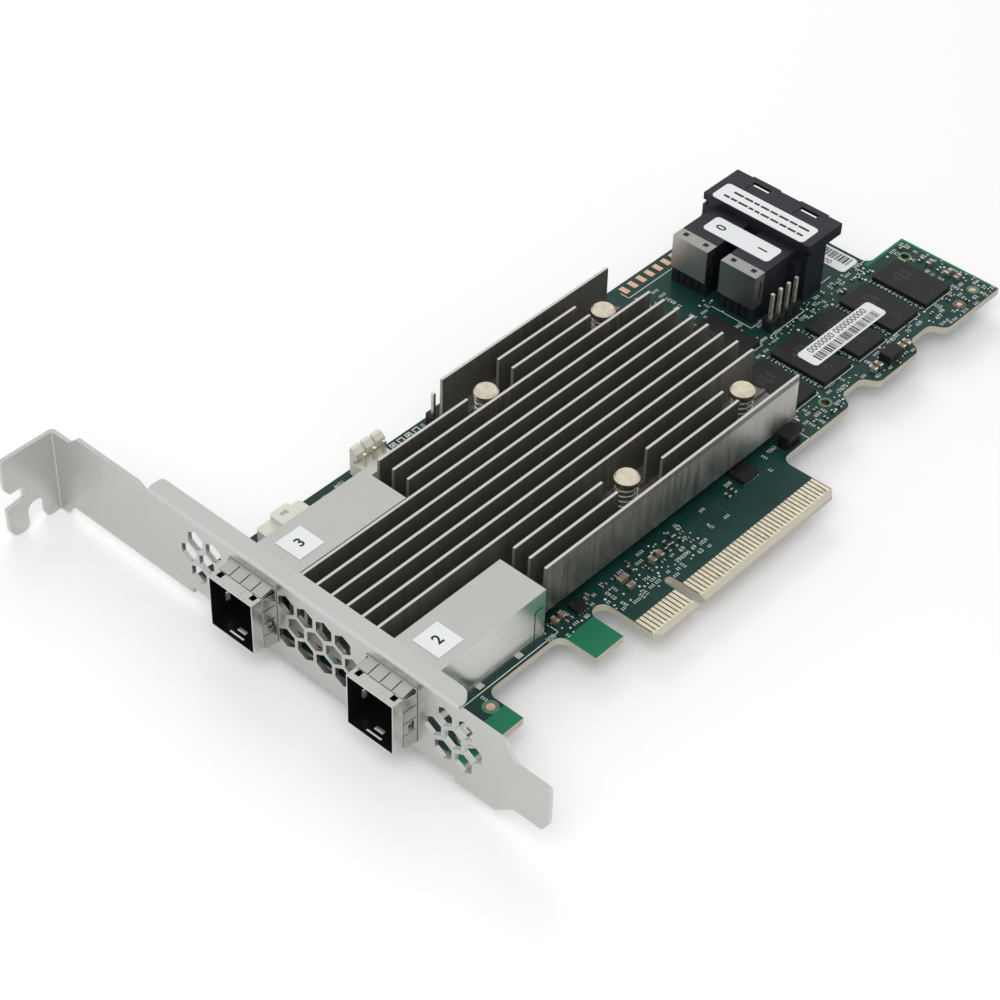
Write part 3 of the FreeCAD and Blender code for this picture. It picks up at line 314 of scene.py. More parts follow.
@dataclass(frozen=True)
class SheetSteel(Finish):
    """Rolled or plated sheet metal: faint grain, clouding and painted shade on faces that look up.
    """

    grain: Triple = (1.0, 0.06, 1.0)
    cloud: float = 0.06
    # top: below one, faces that look up get painted shade
    top: float = 1.0
    relief_mm: float = 0.004

    def dress(self, art: NodeArt) -> None:
        """Adds grain along one axis and soft clouds; faces that look up get painted shade."""
        grain = art.noise(6.0, 3.0, self.grain)
        cloud = art.noise(0.12, 3.0)
        tone = (cloud - 0.5) * (self.cloud * 2) + (grain - 0.5) * self.cloud
        # painted shade: faces that look up are darkened
        upward = art.facing(2).ramp(0.5, 0.9) * (1.0 - self.top)
        dark = shade(self.colour, 0.5)
        art.set(
            base_color=art.blend(dark, self.colour, tone + 0.9 - upward * 2.0),
            metallic=1.0,
            roughness=tone * 1.2 + self.roughness,
        )
        art.relief(grain, self.relief_mm, 0.4)


@dataclass(frozen=True)
class CageSteel(SheetSteel):
    """Bright cage metal whose inner faces are painted near black as shade."""

    centres: Pair = (0.0, 0.0)
    inside_w: float = 10.06
    inside_z: Pair = (0.25, 11.25)
    # painted shade: near black colour for the cage's inner faces
    inside_painted_shade: Colour = (0.008, 0.008, 0.009)

    def dress(self, art: NodeArt) -> None:
        """Paints the inner faces near black as shade."""
        super().dress(art)
        _, y, z = art.axes()
        half = self.inside_w / 2 + 0.05
        tall = z.within(self.inside_z[0] - 0.05, self.inside_z[1] + 0.05)
        inner = (abs(y - self.centres[0]) < half).either(abs(y - self.centres[1]) < half) * tall
        steel = Field(art, art.shader.inputs["Base Color"].links[0].from_socket)
        # painted shade: inner faces turn near black and lose their metal
        art.set(base_color=art.blend(steel, self.inside_painted_shade, inner), metallic=1.0 - inner)


@dataclass(frozen=True)
class FinMetal(Finish):
    """Extruded aluminium: milled light tops, painted shade on fin sides, outer fin streaked with
    painted sheen.
    """

    # painted shade: the dark colour of the fin sides
    side: Colour = (0.15, 0.14, 0.125)
    top_z: float = 13.2
    outer_y: float = 16.4
    # length_x: span along which the outer fin's painted sheen brightens
    length_x: Pair = (-23.3, 47.4)
    pins: tuple[Pair, ...] = ()

    def dress(self, art: NodeArt) -> None:
        """Sets tops apart from sides with painted shade and runs saw streaks up the sides."""
        x, y, z = art.axes()
        streaks = art.noise(1.1, 4.0, (1.0, 0.05, 0.08))
        fine = art.noise(7.0, 2.0, (1.0, 0.05, 0.05))
        dusk = (streaks - 0.5) * 0.9 + (fine - 0.5) * 0.5 + 0.5
        low = shade(self.side, 0.7)
        high = shade(self.side, 1.5)
        sides = art.blend(low, high, dusk)
        for px, py in self.pins:
            across, upward = x - px, y - py
            near = 1 - (across * across + upward * upward).ramp(9.0, 42.0)
            sides = art.blend(sides, (0.33, 0.32, 0.29), near * streaks.ramp(0.48, 0.62) * 0.7)
        outer = (y < self.outer_y) * (art.facing(1) < -0.7)
        # painted sheen: the outer fin brightens along X, under its real saw streaks
        painted_sheen_sweep = x.ramp(*self.length_x) * 0.5 + (streaks - 0.5) * 0.5 + (fine - 0.5) * 0.35 + 0.27
        streaks_and_painted_sheen = art.blend((0.10, 0.105, 0.095), (0.62, 0.61, 0.58), painted_sheen_sweep)
        ends = abs(art.facing(0)) > 0.7
        # painted shade: ends facing along X get a lighter tone than the sides
        sides = art.blend(art.blend(sides, streaks_and_painted_sheen, outer), (0.36, 0.35, 0.33), ends)
        # the tops keep the light colour; the painted shade stays on the sides
        crest = (art.facing(2) > 0.7) * (z > self.top_z - 0.3)
        art.set(
            base_color=art.blend(sides, self.colour, crest),
            metallic=crest.either(outer) * 0.5 + 0.5,
            roughness=(streaks - 0.5) * 0.25 + self.roughness,
        )
        art.relief(fine, 0.01, 0.35)


@dataclass(frozen=True)
class Moulded(Finish):
    """Moulded plastic with fine spark texture."""

    speck: float = 0.25
    shine: float = 0.3

    def dress(self, art: NodeArt) -> None:
        """Adds a fine grain to the colour and to the surface."""
        grain = art.noise(9.0, 2.0)
        cloud = art.noise(0.3, 2.0)
        light = tuple(min(1.0, c * (1 + self.speck) + 0.004) for c in self.colour)
        dark = shade(self.colour, 1 - self.speck)
        art.set(
            base_color=art.blend(dark, light, grain * 0.6 + cloud * 0.4),
            roughness=(grain - 0.5) * 0.2 + self.roughness,
            specular_ior_level=self.shine,
        )
        art.relief(grain, 0.006, 0.4)


@dataclass(frozen=True)
class Plated(Finish):
    """Plated contact metal with slight variation."""

    metallic: float = 1.0

    def dress(self, art: NodeArt) -> None:
        """Adds a slow change of tone."""
        cloud = art.noise(0.8, 3.0)
        pale = shade(self.colour, 1.12)
        deep = shade(self.colour, 0.82)
        art.set(
            base_color=art.blend(deep, pale, cloud.ramp(0.3, 0.7)),
            metallic=self.metallic,
            roughness=(cloud - 0.5) * 0.2 + self.roughness,
        )


@dataclass(frozen=True)
class Paper(Finish):
    """Matt printed label stock."""

    def dress(self, art: NodeArt) -> None:
        """Adds a faint fibre to the white."""
        fibre = art.noise(5.0, 3.0)
        low = shade(self.colour, 0.95)
        art.set(base_color=art.blend(low, self.colour, fibre), roughness=self.roughness)


@dataclass(frozen=True)
class SolderMask(Finish):
    """Green laminate: lacquer over copper, bare resin edges and a bare contact strip."""

    bright: Colour = (0.014, 0.185, 0.090)
    line: Colour = (0.014, 0.062, 0.056)
    resin: Colour = (0.60, 0.57, 0.47)
    # gap: painted shade in the gaps between the edge contacts
    gap: Colour = (0.10, 0.095, 0.075)
    contact_y: Pair = (1.5, 5.4)
    tongue_x: Pair = (-12.1, 38.9)
    bare_boxes: tuple[tuple[Pair, Pair], ...] = ()

    def tracks(self, art: NodeArt, x: Field, y: Field) -> Field:
        """Mask of thin copper tracks that run straight or slanted in separate patches."""
        sockets = {"Vector": art.place(), "Scale": 0.09}
        patch = art.node("ShaderNodeTexVoronoi", {"feature": "F1"}, sockets, "Color")
        pick = art.node("ShaderNodeSeparateColor", {}, {0: patch}, 0)
        bend = art.noise(0.12, 1.0)
        along = ((y + bend * 6.0) % 0.56) < 0.24
        slanted = ((x + y + bend * 5.0) % 0.72) < 0.26
        up = ((x + bend * 4.0) % 0.62) < 0.24
        first = (pick < 0.36) * along
        second = pick.within(0.36, 0.7) * slanted
        third = (pick > 0.7) * up
        cover = art.noise(0.16, 2.0) > 0.45
        return (first + second + third) * cover

    def dress(self, art: NodeArt) -> None:
        """Separates lacquer, tracks, bare margins, resin edges and the contact strip."""
        x, y, _ = art.axes()
        up = art.facing(2)
        flat = abs(up) > 0.93
        lacquer = art.blend(self.colour, self.line, self.tracks(art, x, y))
        pour = art.noise(0.05, 2.0).ramp(0.42, 0.6)
        deep = shade(self.colour, 0.72)
        lacquer = art.blend(lacquer, deep, pour * 0.45)
        bare = None
        for across, upward in self.bare_boxes:
            spot = x.within(*across) * y.within(*upward)
            bare = spot if bare is None else bare.either(spot)
        if bare is not None:
            lacquer = art.blend(lacquer, self.bright, bare)
        strip = x.within(*self.tongue_x) * (y < self.contact_y[1])
        # painted shade: darker tan in the gaps between the edge contacts
        between = strip * (y > self.contact_y[0]) * (abs((x + 0.5) % 1.0 - 0.5) < 0.16)
        face = art.blend(lacquer, self.resin, strip)
        face = art.blend(face, self.gap, between)
        fibre = art.noise(2.5, 3.0, (0.3, 0.3, 2.0))
        edge = art.blend(shade(self.resin, 0.82), self.resin, fibre)
        gloss = flat * (1.0 - strip)
        art.set(
            base_color=art.blend(edge, face, flat),
            roughness=0.62 - gloss * (0.62 - self.roughness),
            specular_ior_level=0.2,
        )
        art.relief(art.noise(1.6, 2.0), 0.01, 0.25)


class Slot(Enum):
    """Names of the record's material slots, one passed with each new piece."""

    BOARD = "solder_mask"
    GOLD = "contact_gold"
    LABEL = "label_white"
    SCREW = "screw_steel"
    SPRING = "spring_steel"
    CHIP = "chip_black"
    RESISTOR = "resistor_black"
    CAPACITOR = "capacitor_tan"
    PIN = "header_pin_gold"
    CAGE = "cage_metal"
    CONNECTOR = "connector_black"
    COPPER = "land_copper"


# ------------------------------------------------------------------ mesh making
class Maker:
    """Builds one mesh piece from bmesh operators, in millimetres."""

    figure_share = 0.7
    steps_a_turn = 26

    def __init__(self) -> None:
        """Starts an empty mesh."""
        self.mesh = bmesh.new()

    def block(self, low: Triple, high: Triple, turn: float = 0.0, bevel: float = 0.0) -> None:
        """Adds a block, turned about its own middle.

        Args:
            low: Lowest corner.
            high: Highest corner.
            turn: Turn about Z, in degrees.
            bevel: Width of the bevel on its edges.
        """
        low_v, high_v = Vector(low), Vector(high)
        size = high_v - low_v
        spin = Matrix.Rotation(math.radians(turn), 4, "Z")
        place = Matrix.Translation((low_v + high_v) / 2) @ spin @ Matrix.Diagonal((*size, 1.0))
        made = bmesh.ops.create_cube(self.mesh, size=1.0, matrix=place)
        if bevel:
            edges = {edge for vert in made["verts"] for edge in vert.link_edges}
            bmesh.ops.bevel(self.mesh, geom=list(edges), offset=bevel, offset_type="OFFSET",
                            segments=2, profile=0.5, affect="EDGES", material=-1)

    def around(self, middle: Pair, half: Pair, z: Pair, turn: float = 0.0,
               bevel: float = 0.0) -> None:
        """Adds a block round a place, from half its length and half its width."""
        (x, y), (u, v) = middle, half
        self.block((x - u, y - v, z[0]), (x + u, y + v, z[1]), turn, bevel)

    def disc(self, x: float, y: float, low_z: float, high_z: float, radius: float,
             sides: int = 12) -> None:
        """Adds an upright round plug between two heights."""
        place = Matrix.Translation((x, y, (low_z + high_z) / 2))
        bmesh.ops.create_cone(
            self.mesh, cap_ends=True, segments=sides, radius1=radius, radius2=radius,
            depth=high_z - low_z, matrix=place)

    def line(self, start: Pair, end: Pair, width: float, z: Pair) -> None:
        """Adds a thin straight bar on the board from one point to another."""
        a, b = Vector(start), Vector(end)
        half = Vector(((b - a).length / 2 + width / 2, width / 2))
        turn = math.degrees(math.atan2(b.y - a.y, b.x - a.x))
        self.around(middle_of(a, b), half, z, turn)

    def plate(self, corners: list[Pair], z: Pair, radius: float = 0.0) -> None:
        """Adds a flat plate with a drawn outline.

        Args:
            corners: The outline, anticlockwise.
            z: Bottom and top.
            radius: Rounds the upright edges.
        """
        verts = [self.mesh.verts.new((u, v, z[0])) for u, v in corners]
        face = self.mesh.faces.new(verts)
        made = bmesh.ops.extrude_face_region(self.mesh, geom=[face])
        raised = [g for g in made["geom"] if isinstance(g, bmesh.types.BMVert)]
        bmesh.ops.translate(self.mesh, verts=raised, vec=(0.0, 0.0, z[1] - z[0]))
        face.normal_flip()
        if radius:
            group = verts + raised
            edges = {e for v in group for e in v.link_edges}
            upright = [e for e in edges if abs(e.verts[0].co.z - e.verts[1].co.z) > 1e-6]
            bmesh.ops.bevel(self.mesh, geom=upright, offset=radius, offset_type="OFFSET",
                            segments=6, profile=0.5, affect="EDGES", material=-1)

    def rings(self, middle: Pair, outline: list[Pair], sides: int = 32,
              cross: dict[int, Pair] | None = None) -> None:
        """Adds an upright turned body from rings stacked bottom to top.

        Args:
            middle: Its axis.
            outline: Radius and height of each ring; the first and last are closed flat.
            sides: Faces around it.
            cross: Rings drawn as a cross, by their number, with arm length and half width.
        """
        loops = []
        for number, (radius, z) in enumerate(outline):
            arm = (cross or {}).get(number)
            loop = []
            for k in range(sides):
                angle = math.tau * k / sides
                reach = radius
                if arm:
                    fold = abs((angle + math.pi / 4) % (math.pi / 2) - math.pi / 4)
                    reach = min(arm[0] / math.cos(fold), arm[1] / max(math.sin(fold), 1e-6))
                spot = (middle[0] + reach * math.cos(angle), middle[1] + reach * math.sin(angle), z)
                loop.append(self.mesh.verts.new(spot))
            loops.append(loop)
        for low, high in zip(loops, loops[1:]):
            for k in range(sides):
                n = (k + 1) % sides
                self.mesh.faces.new((low[k], low[n], high[n], high[k]))
        self.mesh.faces.new(list(reversed(loops[0])))
        self.mesh.faces.new(loops[-1])

    def tube(self, middle: Pair, radii: Pair, z: Pair, sides: int = 32) -> None:
        """Adds an upright tube from its inner and outer radius."""
        corners = [(radii[0], z[0]), (radii[1], z[0]), (radii[1], z[1]), (radii[0], z[1])]
        loops = [[self.mesh.verts.new((middle[0] + r * math.cos(math.tau * k / sides),
                                       middle[1] + r * math.sin(math.tau * k / sides), h))
                  for k in range(sides)] for r, h in corners]
        for low, high in zip(loops, loops[1:] + loops[:1]):
            for k in range(sides):
                n = (k + 1) % sides
                self.mesh.faces.new((low[k], low[n], high[n], high[k]))

    def coil(self, x: float, y: float, z: Pair, radius: float, wire: float, turns: float) -> None:
        """Adds a coil spring with closed ends."""
        steps = int(turns * self.steps_a_turn)
        start_at = Matrix.Translation((x + radius, y, z[0] + wire / 2))
        upright = start_at @ Matrix.Rotation(math.pi / 2, 4, "X")
        ring = bmesh.ops.create_circle(
            self.mesh, cap_ends=True, segments=8, radius=wire / 2, matrix=upright)
        start = [f for f in self.mesh.faces if all(v in ring["verts"] for v in f.verts)]
        rise = (z[1] - z[0] - wire) / steps
        rim = list({e for v in ring["verts"] for e in v.link_edges})
        bmesh.ops.spin(
            self.mesh, geom=ring["verts"] + start + rim,
            cent=(x, y, 0.0), axis=(0.0, 0.0, 1.0), dvec=(0.0, 0.0, rise), angle=math.tau * turns,
            steps=steps, use_merge=False, use_duplicate=False)

    def digits(self, text: str, place: Pair, height: float, turn: float, z: Pair,
               bold: float = 0.0) -> None:
        """Adds plain figures, centred on a place.

        Args:
            text: The figures.
            place: Their middle.
            height: Height of a figure.
            turn: Direction of writing, in degrees from X.
            z: Bottom and top.
            bold: How far each stroke swells on either side.
        """
        curve = bpy.data.curves.new("figures", "FONT")
        curve.body = text
        curve.align_x = "CENTER"
        curve.align_y = "CENTER"
        curve.size = height / self.figure_share
        curve.resolution_u = 3
        curve.offset = bold
        curve.extrude = (z[1] - z[0]) / 2
        carrier = bpy.data.objects.new("figures", curve)
        flat = bpy.data.meshes.new_from_object(carrier)
        spin = Matrix.Rotation(math.radians(turn), 4, "Z")
        flat.transform(Matrix.Translation((place[0], place[1], (z[0] + z[1]) / 2)) @ spin)
        self.mesh.from_mesh(flat)
        bpy.data.meshes.remove(flat)
        bpy.data.objects.remove(carrier)
        bpy.data.curves.remove(curve)

    def piece(self, name: str, material: Material, slot: Slot,
              smooth: bool = False, replaces: tuple[str, ...] = ()) -> bpy.types.Object:
        """Turns the mesh into a finished piece that rides on the card.

        Args:
            name: The piece's name.
            material: Its finish.
            slot: The record's slot that the finish belongs to; not used.
            smooth: Whether its faces are shaded smooth.
            replaces: Solids that it stands for.

        Returns:
            The object.
        """
        bmesh.ops.recalc_face_normals(self.mesh, faces=self.mesh.faces)
        bmesh.ops.scale(self.mesh, vec=(MM, MM, MM), verts=self.mesh.verts)
        data = bpy.data.meshes.new(name)
        for face in self.mesh.faces:
            face.smooth = smooth
        self.mesh.to_mesh(data)
        self.mesh.free()
        data.materials.append(material)
        made = bpy.data.objects.new(name, data)
        bpy.context.scene.collection.objects.link(made)
        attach(made, ROOT)
        if replaces:
            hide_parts(*replaces)
        log.info("%s: %d faces", name, len(data.polygons))
        return made


# ------------------------------------------------------------------ finishes of the solids
@dataclass
class SolidFinishes:
    """Gives every solid of the card its finish."""

    made: dict[str, Material] = field(default_factory=dict)

    def finishes(self) -> dict[tuple[str, ...], Finish]:
        """Finish of each group of solids."""
        centres = tuple(middle_of(*node_box(name)).y for name in ("port_cage_1", "port_cage_2"))
        sink_top = node_box("heat_sink")[1].z
        pins = tuple(middle_of(*ends).to_2d().to_tuple() for ends in islands("heat_sink_pins"))
        bare = (
            ((-57.0, -42.0), (0.0, 8.6)),
            ((-23.5, -15.8), (0.0, 11.4)),
            ((110.4, 112.0), (0.0, 40.0)),
            ((98.4, 112.0), (36.0, 37.0)),
        )
        return {
            ("circuit_board",): SolderMask(
                "board lacquer", (0.008, 0.042, 0.034), 0.34, bare_boxes=bare),
            ("edge_contacts",): Plated("contact plating", (0.80, 0.73, 0.56), 0.34),
            # top below one puts painted shade on the upward faces of these metals
            ("bracket",): SheetSteel(
                "bracket plating", (0.70, 0.70, 0.68), 0.36, grain=(1.0, 0.08, 1.0), top=0.84),
            ("bracket_screws",): Plated("screw plating", (0.62, 0.62, 0.60), 0.3),
            ("port_cage_1", "port_cage_2"): CageSteel(
                "cage plating", (0.80, 0.80, 0.77), 0.25, grain=(0.08, 1.0, 1.0), top=0.7,
                relief_mm=0.0008, centres=centres),
            ("port_gasket_1", "port_gasket_2"): SheetSteel(
                "shield spring", (0.60, 0.60, 0.58), 0.3, top=0.8),
            ("port_receptacle_1", "port_receptacle_2"): Moulded(
                "port moulding", (0.012, 0.012, 0.013), 0.4),
            ("port_contacts_1", "port_contacts_2", "connector_contacts"): Plated(
                "contact blades", (0.72, 0.58, 0.32), 0.3),
            ("heat_sink",): FinMetal(
                "sawn aluminium", (0.62, 0.60, 0.57), 0.38, top_z=sink_top, pins=pins),
            ("heat_sink_pins",): Plated("pin brass", (0.66, 0.61, 0.48), 0.36),
            ("heat_sink_springs",): Plated("spring wire", (0.5, 0.5, 0.48), 0.3),
            ("chip_substrate",): Moulded("chip carrier", (0.02, 0.10, 0.05), 0.5),
            ("chip_lid",): SheetSteel("chip lid", (0.55, 0.55, 0.54), 0.4),
            ("thermal_pad",): Moulded("gap pad", (0.40, 0.40, 0.42), 0.8),
            ("connector_housing",): Moulded("connector moulding", (0.010, 0.012, 0.017), 0.42),
            ("connector_shell_1", "connector_shell_2"): SheetSteel(
                "connector shell", (0.60, 0.59, 0.56), 0.33, grain=(1.0, 1.0, 0.1), top=0.65),
            (*MEMORY, "flash_chip", "small_chips"): Moulded(
                "chip moulding", (0.010, 0.009, 0.009), 0.5, shine=0.25),
            ("power_inductor",): Moulded(
                "inductor body", (0.006, 0.006, 0.007), 0.42, shine=0.16),
            ("capacitors",): Moulded("capacitor body", (0.26, 0.19, 0.13), 0.4),
            ("resistors",): Moulded("resistor body", (0.03, 0.03, 0.03), 0.35),
            ("bulk_capacitor",): Moulded("bulk capacitor body", (0.33, 0.25, 0.18), 0.4),
            ("pin_header", "jumper_header"): Moulded("header moulding", (0.008, 0.008, 0.010), 0.5),
            ("pin_header_pins", "jumper_header_pins", "lock_connector_pins",
             "side_connector_pins"): Plated("header pins", (0.80, 0.76, 0.64), 0.5),
            ("lock_connector", "side_connector"): Moulded(
                "cream moulding", (0.73, 0.73, 0.65), 0.45, speck=0.05),
            ("board_lands",): Plated("bare copper", (0.74, 0.47, 0.34), 0.42),
            ("port_labels",): Paper("label stock", (0.86, 0.88, 0.89), 0.55),
        }

    def dress(self) -> None:
        """Builds each material and puts it on its solids."""
        for names, finish in self.finishes().items():
            material = finish.material()
            self.made[finish.name] = material
            for name in names:
                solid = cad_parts.get(name)
                if solid is None:
                    continue
                solid.data.materials.clear()
                solid.data.materials.append(material)
        log.info("solids dressed with %d finishes", len(self.made))


# ------------------------------------------------------------------ bare board
@dataclass
class Board:
    """Knows which spots of the board's upper face are still bare."""

    taken: list[tuple[float, float, float, float]] = field(default_factory=list)
    above: float = 60.0
    flat_within: float = 0.01

    def __post_init__(self) -> None:
        """Gathers every solid into one tree that rays can meet."""
        verts: list[Vector] = []
        faces: list[tuple[int, ...]] = []
        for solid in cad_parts.values():
            start = len(verts)
            verts += [v.co / MM for v in solid.data.vertices]
            faces += [tuple(start + i for i in p.vertices) for p in solid.data.polygons]
        self.tree = BVHTree.FromPolygons(verts, faces)

    def bare(self, x: float, y: float) -> bool:
        """Whether the board is what one meets from above."""
        spot = self.tree.ray_cast(Vector((x, y, self.above)), Vector((0.0, 0.0, -1.0)))[0]
        return spot is not None and abs(spot.z) < self.flat_within

    def claim(self, x: float, y: float, half: Pair) -> bool:
        """Takes a rectangle for one mark or part, if all of it is free.

        Args:
            x: Its middle.
            y: Its middle.
            half: Half its length along each axis.

        Returns:
            Whether it was free.
        """
        left, right, low, high = x - half[0], x + half[0], y - half[1], y + half[1]
        for a, b, c, d in self.taken:
            if left < b and right > a and low < d and high > c:
                return False
        spots = [(u, v) for u in (left, x, right) for v in (low, y, high)]
        if not all(self.bare(u, v) for u, v in spots):
            return False
        self.taken.append((left, right, low, high))
        return True


# ------------------------------------------------------------------ small parts
@dataclass
class SmallParts:
    """Two-ended parts, their metal ends, and rows of tiny ones between the chips."""

    board: Board
    seed: int = 5
    shrink: Pair = (0.85, 0.8)
    bulk: Triple = (2.2, 1.25, 1.25)
    row_part: Triple = (0.85, 0.45, 0.35)
    row_offsets: Pair = (0.75, 1.75)
    row_pitch: float = 0.95
    small: Triple = (1.0, 0.5, 0.4)
    large: Triple = (1.6, 0.8, 0.6)
    room: float = 0.08
    cap_len: float = 0.35
    body_share: float = 0.94
    row_fill: float = 0.72
    tall: Maker = field(default_factory=Maker)
    flat: Maker = field(default_factory=Maker)
    ends: Maker = field(default_factory=Maker)

    def build(self, tin: Material, tan: Material, dark: Material) -> None:
        """Makes every two-ended part of the card.

        Args:
            tin: Finish of the metal ends.
            tan: Finish of the capacitors' bodies.
            dark: Finish of the resistors' bodies.
        """
        for node, maker in (("capacitors", self.tall), ("resistors", self.flat)):
            for low, high in islands(node):
                x, y, z = high - low
                self.two_ended(maker, middle_of(low, high).to_2d(), 90 if y > x else 0,
                               (max(x, y) * self.shrink[0], min(x, y) * self.shrink[1], z))
        self.two_ended(self.tall, middle_of(*node_box("bulk_capacitor")).to_2d(), 0, self.bulk)
        self.chip_rows()
        self.scatter()
        self.tall.piece("capacitor_bodies", tan, Slot.CAPACITOR,
                        replaces=("capacitors", "bulk_capacitor"))
        self.flat.piece("resistor_bodies", dark, Slot.RESISTOR, replaces=("resistors",))
        self.ends.piece("part_ends", tin, Slot.PIN)

    def place(self, spot: Pair, turn: int, size: Triple, tan: bool) -> None:
        """Adds a part of the scene's own where the board is bare."""
        half = (size[0] / 2, size[1] / 2) if turn == 0 else (size[1] / 2, size[0] / 2)
        if self.board.claim(*spot, (half[0] + self.room, half[1] + self.room)):
            self.two_ended(self.tall if tan else self.flat, spot, turn, size)

    def chip_rows(self) -> None:
        """Tiny parts in the gaps between the memory packages."""
        rng = random.Random(self.seed)
        for name in MEMORY:
            low, high = node_box(name)
            for x in (low.x - offset for offset in self.row_offsets):
                y = low.y + 0.6
                while y < high.y - 0.8:
                    if rng.random() < self.row_fill:
                        self.place((x, y), 0, self.row_part, rng.random() < 0.25)
                    y += self.row_pitch

    def scatter(self) -> None:
        """Tiny parts in loose groups near the connectors and the board's edges."""
        rng = random.Random(self.seed + 1)
        # across, upward and number of tries in each part of the board
        fields = (((-26.5, -12.5), (12.6, 16.6), 16), ((-11.0, 11.0), (10.6, 16.4), 16),
                  ((40.0, 60.0), (13.4, 18.6), 14), ((70.0, 82.5), (13.2, 18.8), 14),
                  ((94.0, 110.5), (13.4, 19.0), 8), ((104.2, 110.5), (20.0, 34.8), 7),
                  ((62.0, 98.0), (34.4, 37.8), 20), ((89.0, 98.0), (38.0, 52.0), 12))
        for across, upward, count in fields:
            for _ in range(count):
                tan = rng.random() < 0.2
                size = self.small if rng.random() < 0.8 else self.large
                spot = (rng.uniform(*across), rng.uniform(*upward))
                self.place(spot, rng.choice((0, 90)), size, tan)

    def two_ended(self, body: Maker, spot: Pair, turn: int, size: Triple) -> None:
        """Adds one part: a body with a metal cap at each end."""
        length, width, height = size
        cap = min(self.cap_len, length * 0.25)
        half = Vector((length / 2 - cap, width / 2))
        reach = Vector((cap / 2, width / 2))
        along = Vector((1.0, 0.0))
        if turn:
            half, reach, along = half.yx, reach.yx, along.yx
        body.around(spot, half, (0.0, height * self.body_share))
        for side in (-1, 1):
            centre = Vector(spot) + along * side * (length / 2 - cap / 2)
            self.ends.around(centre, reach, (0.0, height), bevel=min(0.06, cap * 0.2))


# ------------------------------------------------------------------ chips
@dataclass
class Chips:
    """Moulded packages with rounded edges, dimples, terminals and faint marks."""

    memory_len: float = 13.2
    memory_h: float = 1.0
    dimple_r: float = 0.45
    mark_t: float = 0.012
    leg_pitch: float = 0.65
    leg_t: float = 0.14
    land_t: float = 0.02
    land_pitch: float = 0.42
    land_reach: float = 1.0
    body: Maker = field(default_factory=Maker)
    marks: Maker = field(default_factory=Maker)
    legs: Maker = field(default_factory=Maker)

    def build(self, black: Material, faint: Material, tin: Material, land: Material) -> None:
        """Makes every package on the board.

        Args:
            black: Finish of the mouldings.
            faint: Finish of the marks on them.
            tin: Finish of the terminals.
            land: Finish of bare copper.
        """
        for name in MEMORY:
            low, high = node_box(name)
            self.package(low, Vector((high.x, low.y + self.memory_len, self.memory_h)))
        low, high = node_box("flash_chip")
        self.package(low, Vector((high.x, high.y, self.memory_h)))
        lands = Maker()
        small = sorted(islands("small_chips"), key=lambda pair: pair[0].x)
        for low, high in small[:-1]:
            self.leaded(low, high)
        self.pattern(lands, *small[-1])
        self.body.piece("chip_bodies", black, Slot.CHIP,
                        replaces=(*MEMORY, "flash_chip", "small_chips"))
        self.marks.piece("chip_marks", faint, Slot.CHIP)
        self.legs.piece("chip_terminals", tin, Slot.PIN)
        lands.piece("bare_lands", land, Slot.COPPER)

    def package(self, low: Vector, high: Vector) -> None:
        """Adds a flat package with a dimple ring and rows of faint marks."""
        self.body.block((low.x + 0.05, low.y + 0.05, 0.0),
                        (high.x - 0.05, high.y - 0.05, high.z * 0.3))
        self.body.block((low.x, low.y, high.z * 0.3), tuple(high), bevel=0.07)
        top = (high.z, high.z + self.mark_t)
        self.marks.tube((low.x + 1.1, high.y - 1.1), (self.dimple_r - 0.1, self.dimple_r), top, 24)
        middle = (low.x + high.x) / 2
        for k, text in enumerate(("000", "00000", "0000")):
            self.marks.digits(text, (middle - 1.6 + k * 1.5, high.y - 4.2), 1.0, -90, top)
        self.marks.tube((middle + 0.2, low.y + 2.5), (0.6, 0.75), top, 24)

    def leaded(self, low: Vector, high: Vector) -> None:
        """Adds a small package with a row of terminals on two sides."""
        self.body.block((low.x + 0.12, low.y + 0.12, 0.05),
                        (high.x - 0.12, high.y - 0.12, high.z), bevel=0.08)
        self.marks.tube((low.x + 0.75, high.y - 0.75), (0.16, 0.26),
                        (high.z, high.z + self.mark_t), 16)
        count = max(3, int((high.x - low.x) / self.leg_pitch))
        for i in range(count):
            x = low.x + (high.x - low.x) * (i + 0.5) / count
            for y, side in ((low.y, -1), (high.y, 1)):
                span = sorted((y - side * 0.3, y + side * 0.25))
                self.legs.block((x - 0.12, span[0], 0.0), (x + 0.12, span[1], self.leg_t))

    def pattern(self, lands: Maker, low: Vector, high: Vector) -> None:
        """Adds the bare landing pattern of a package that isn't fitted."""
        middle = middle_of(low, high)

        def pad(u: float, v: float, half: float) -> None:
            """Adds one square pad beside the pattern's middle."""
            lands.around((middle.x + u, middle.y + v), (half, half), (0.0, self.land_t))

        pad(0.0, 0.0, 0.55)
        for k in range(4):
            offset = (k - 1.5) * self.land_pitch
            for reach in (-self.land_reach, self.land_reach):
                pad(offset, reach, 0.11)
                pad(reach, offset, 0.11)


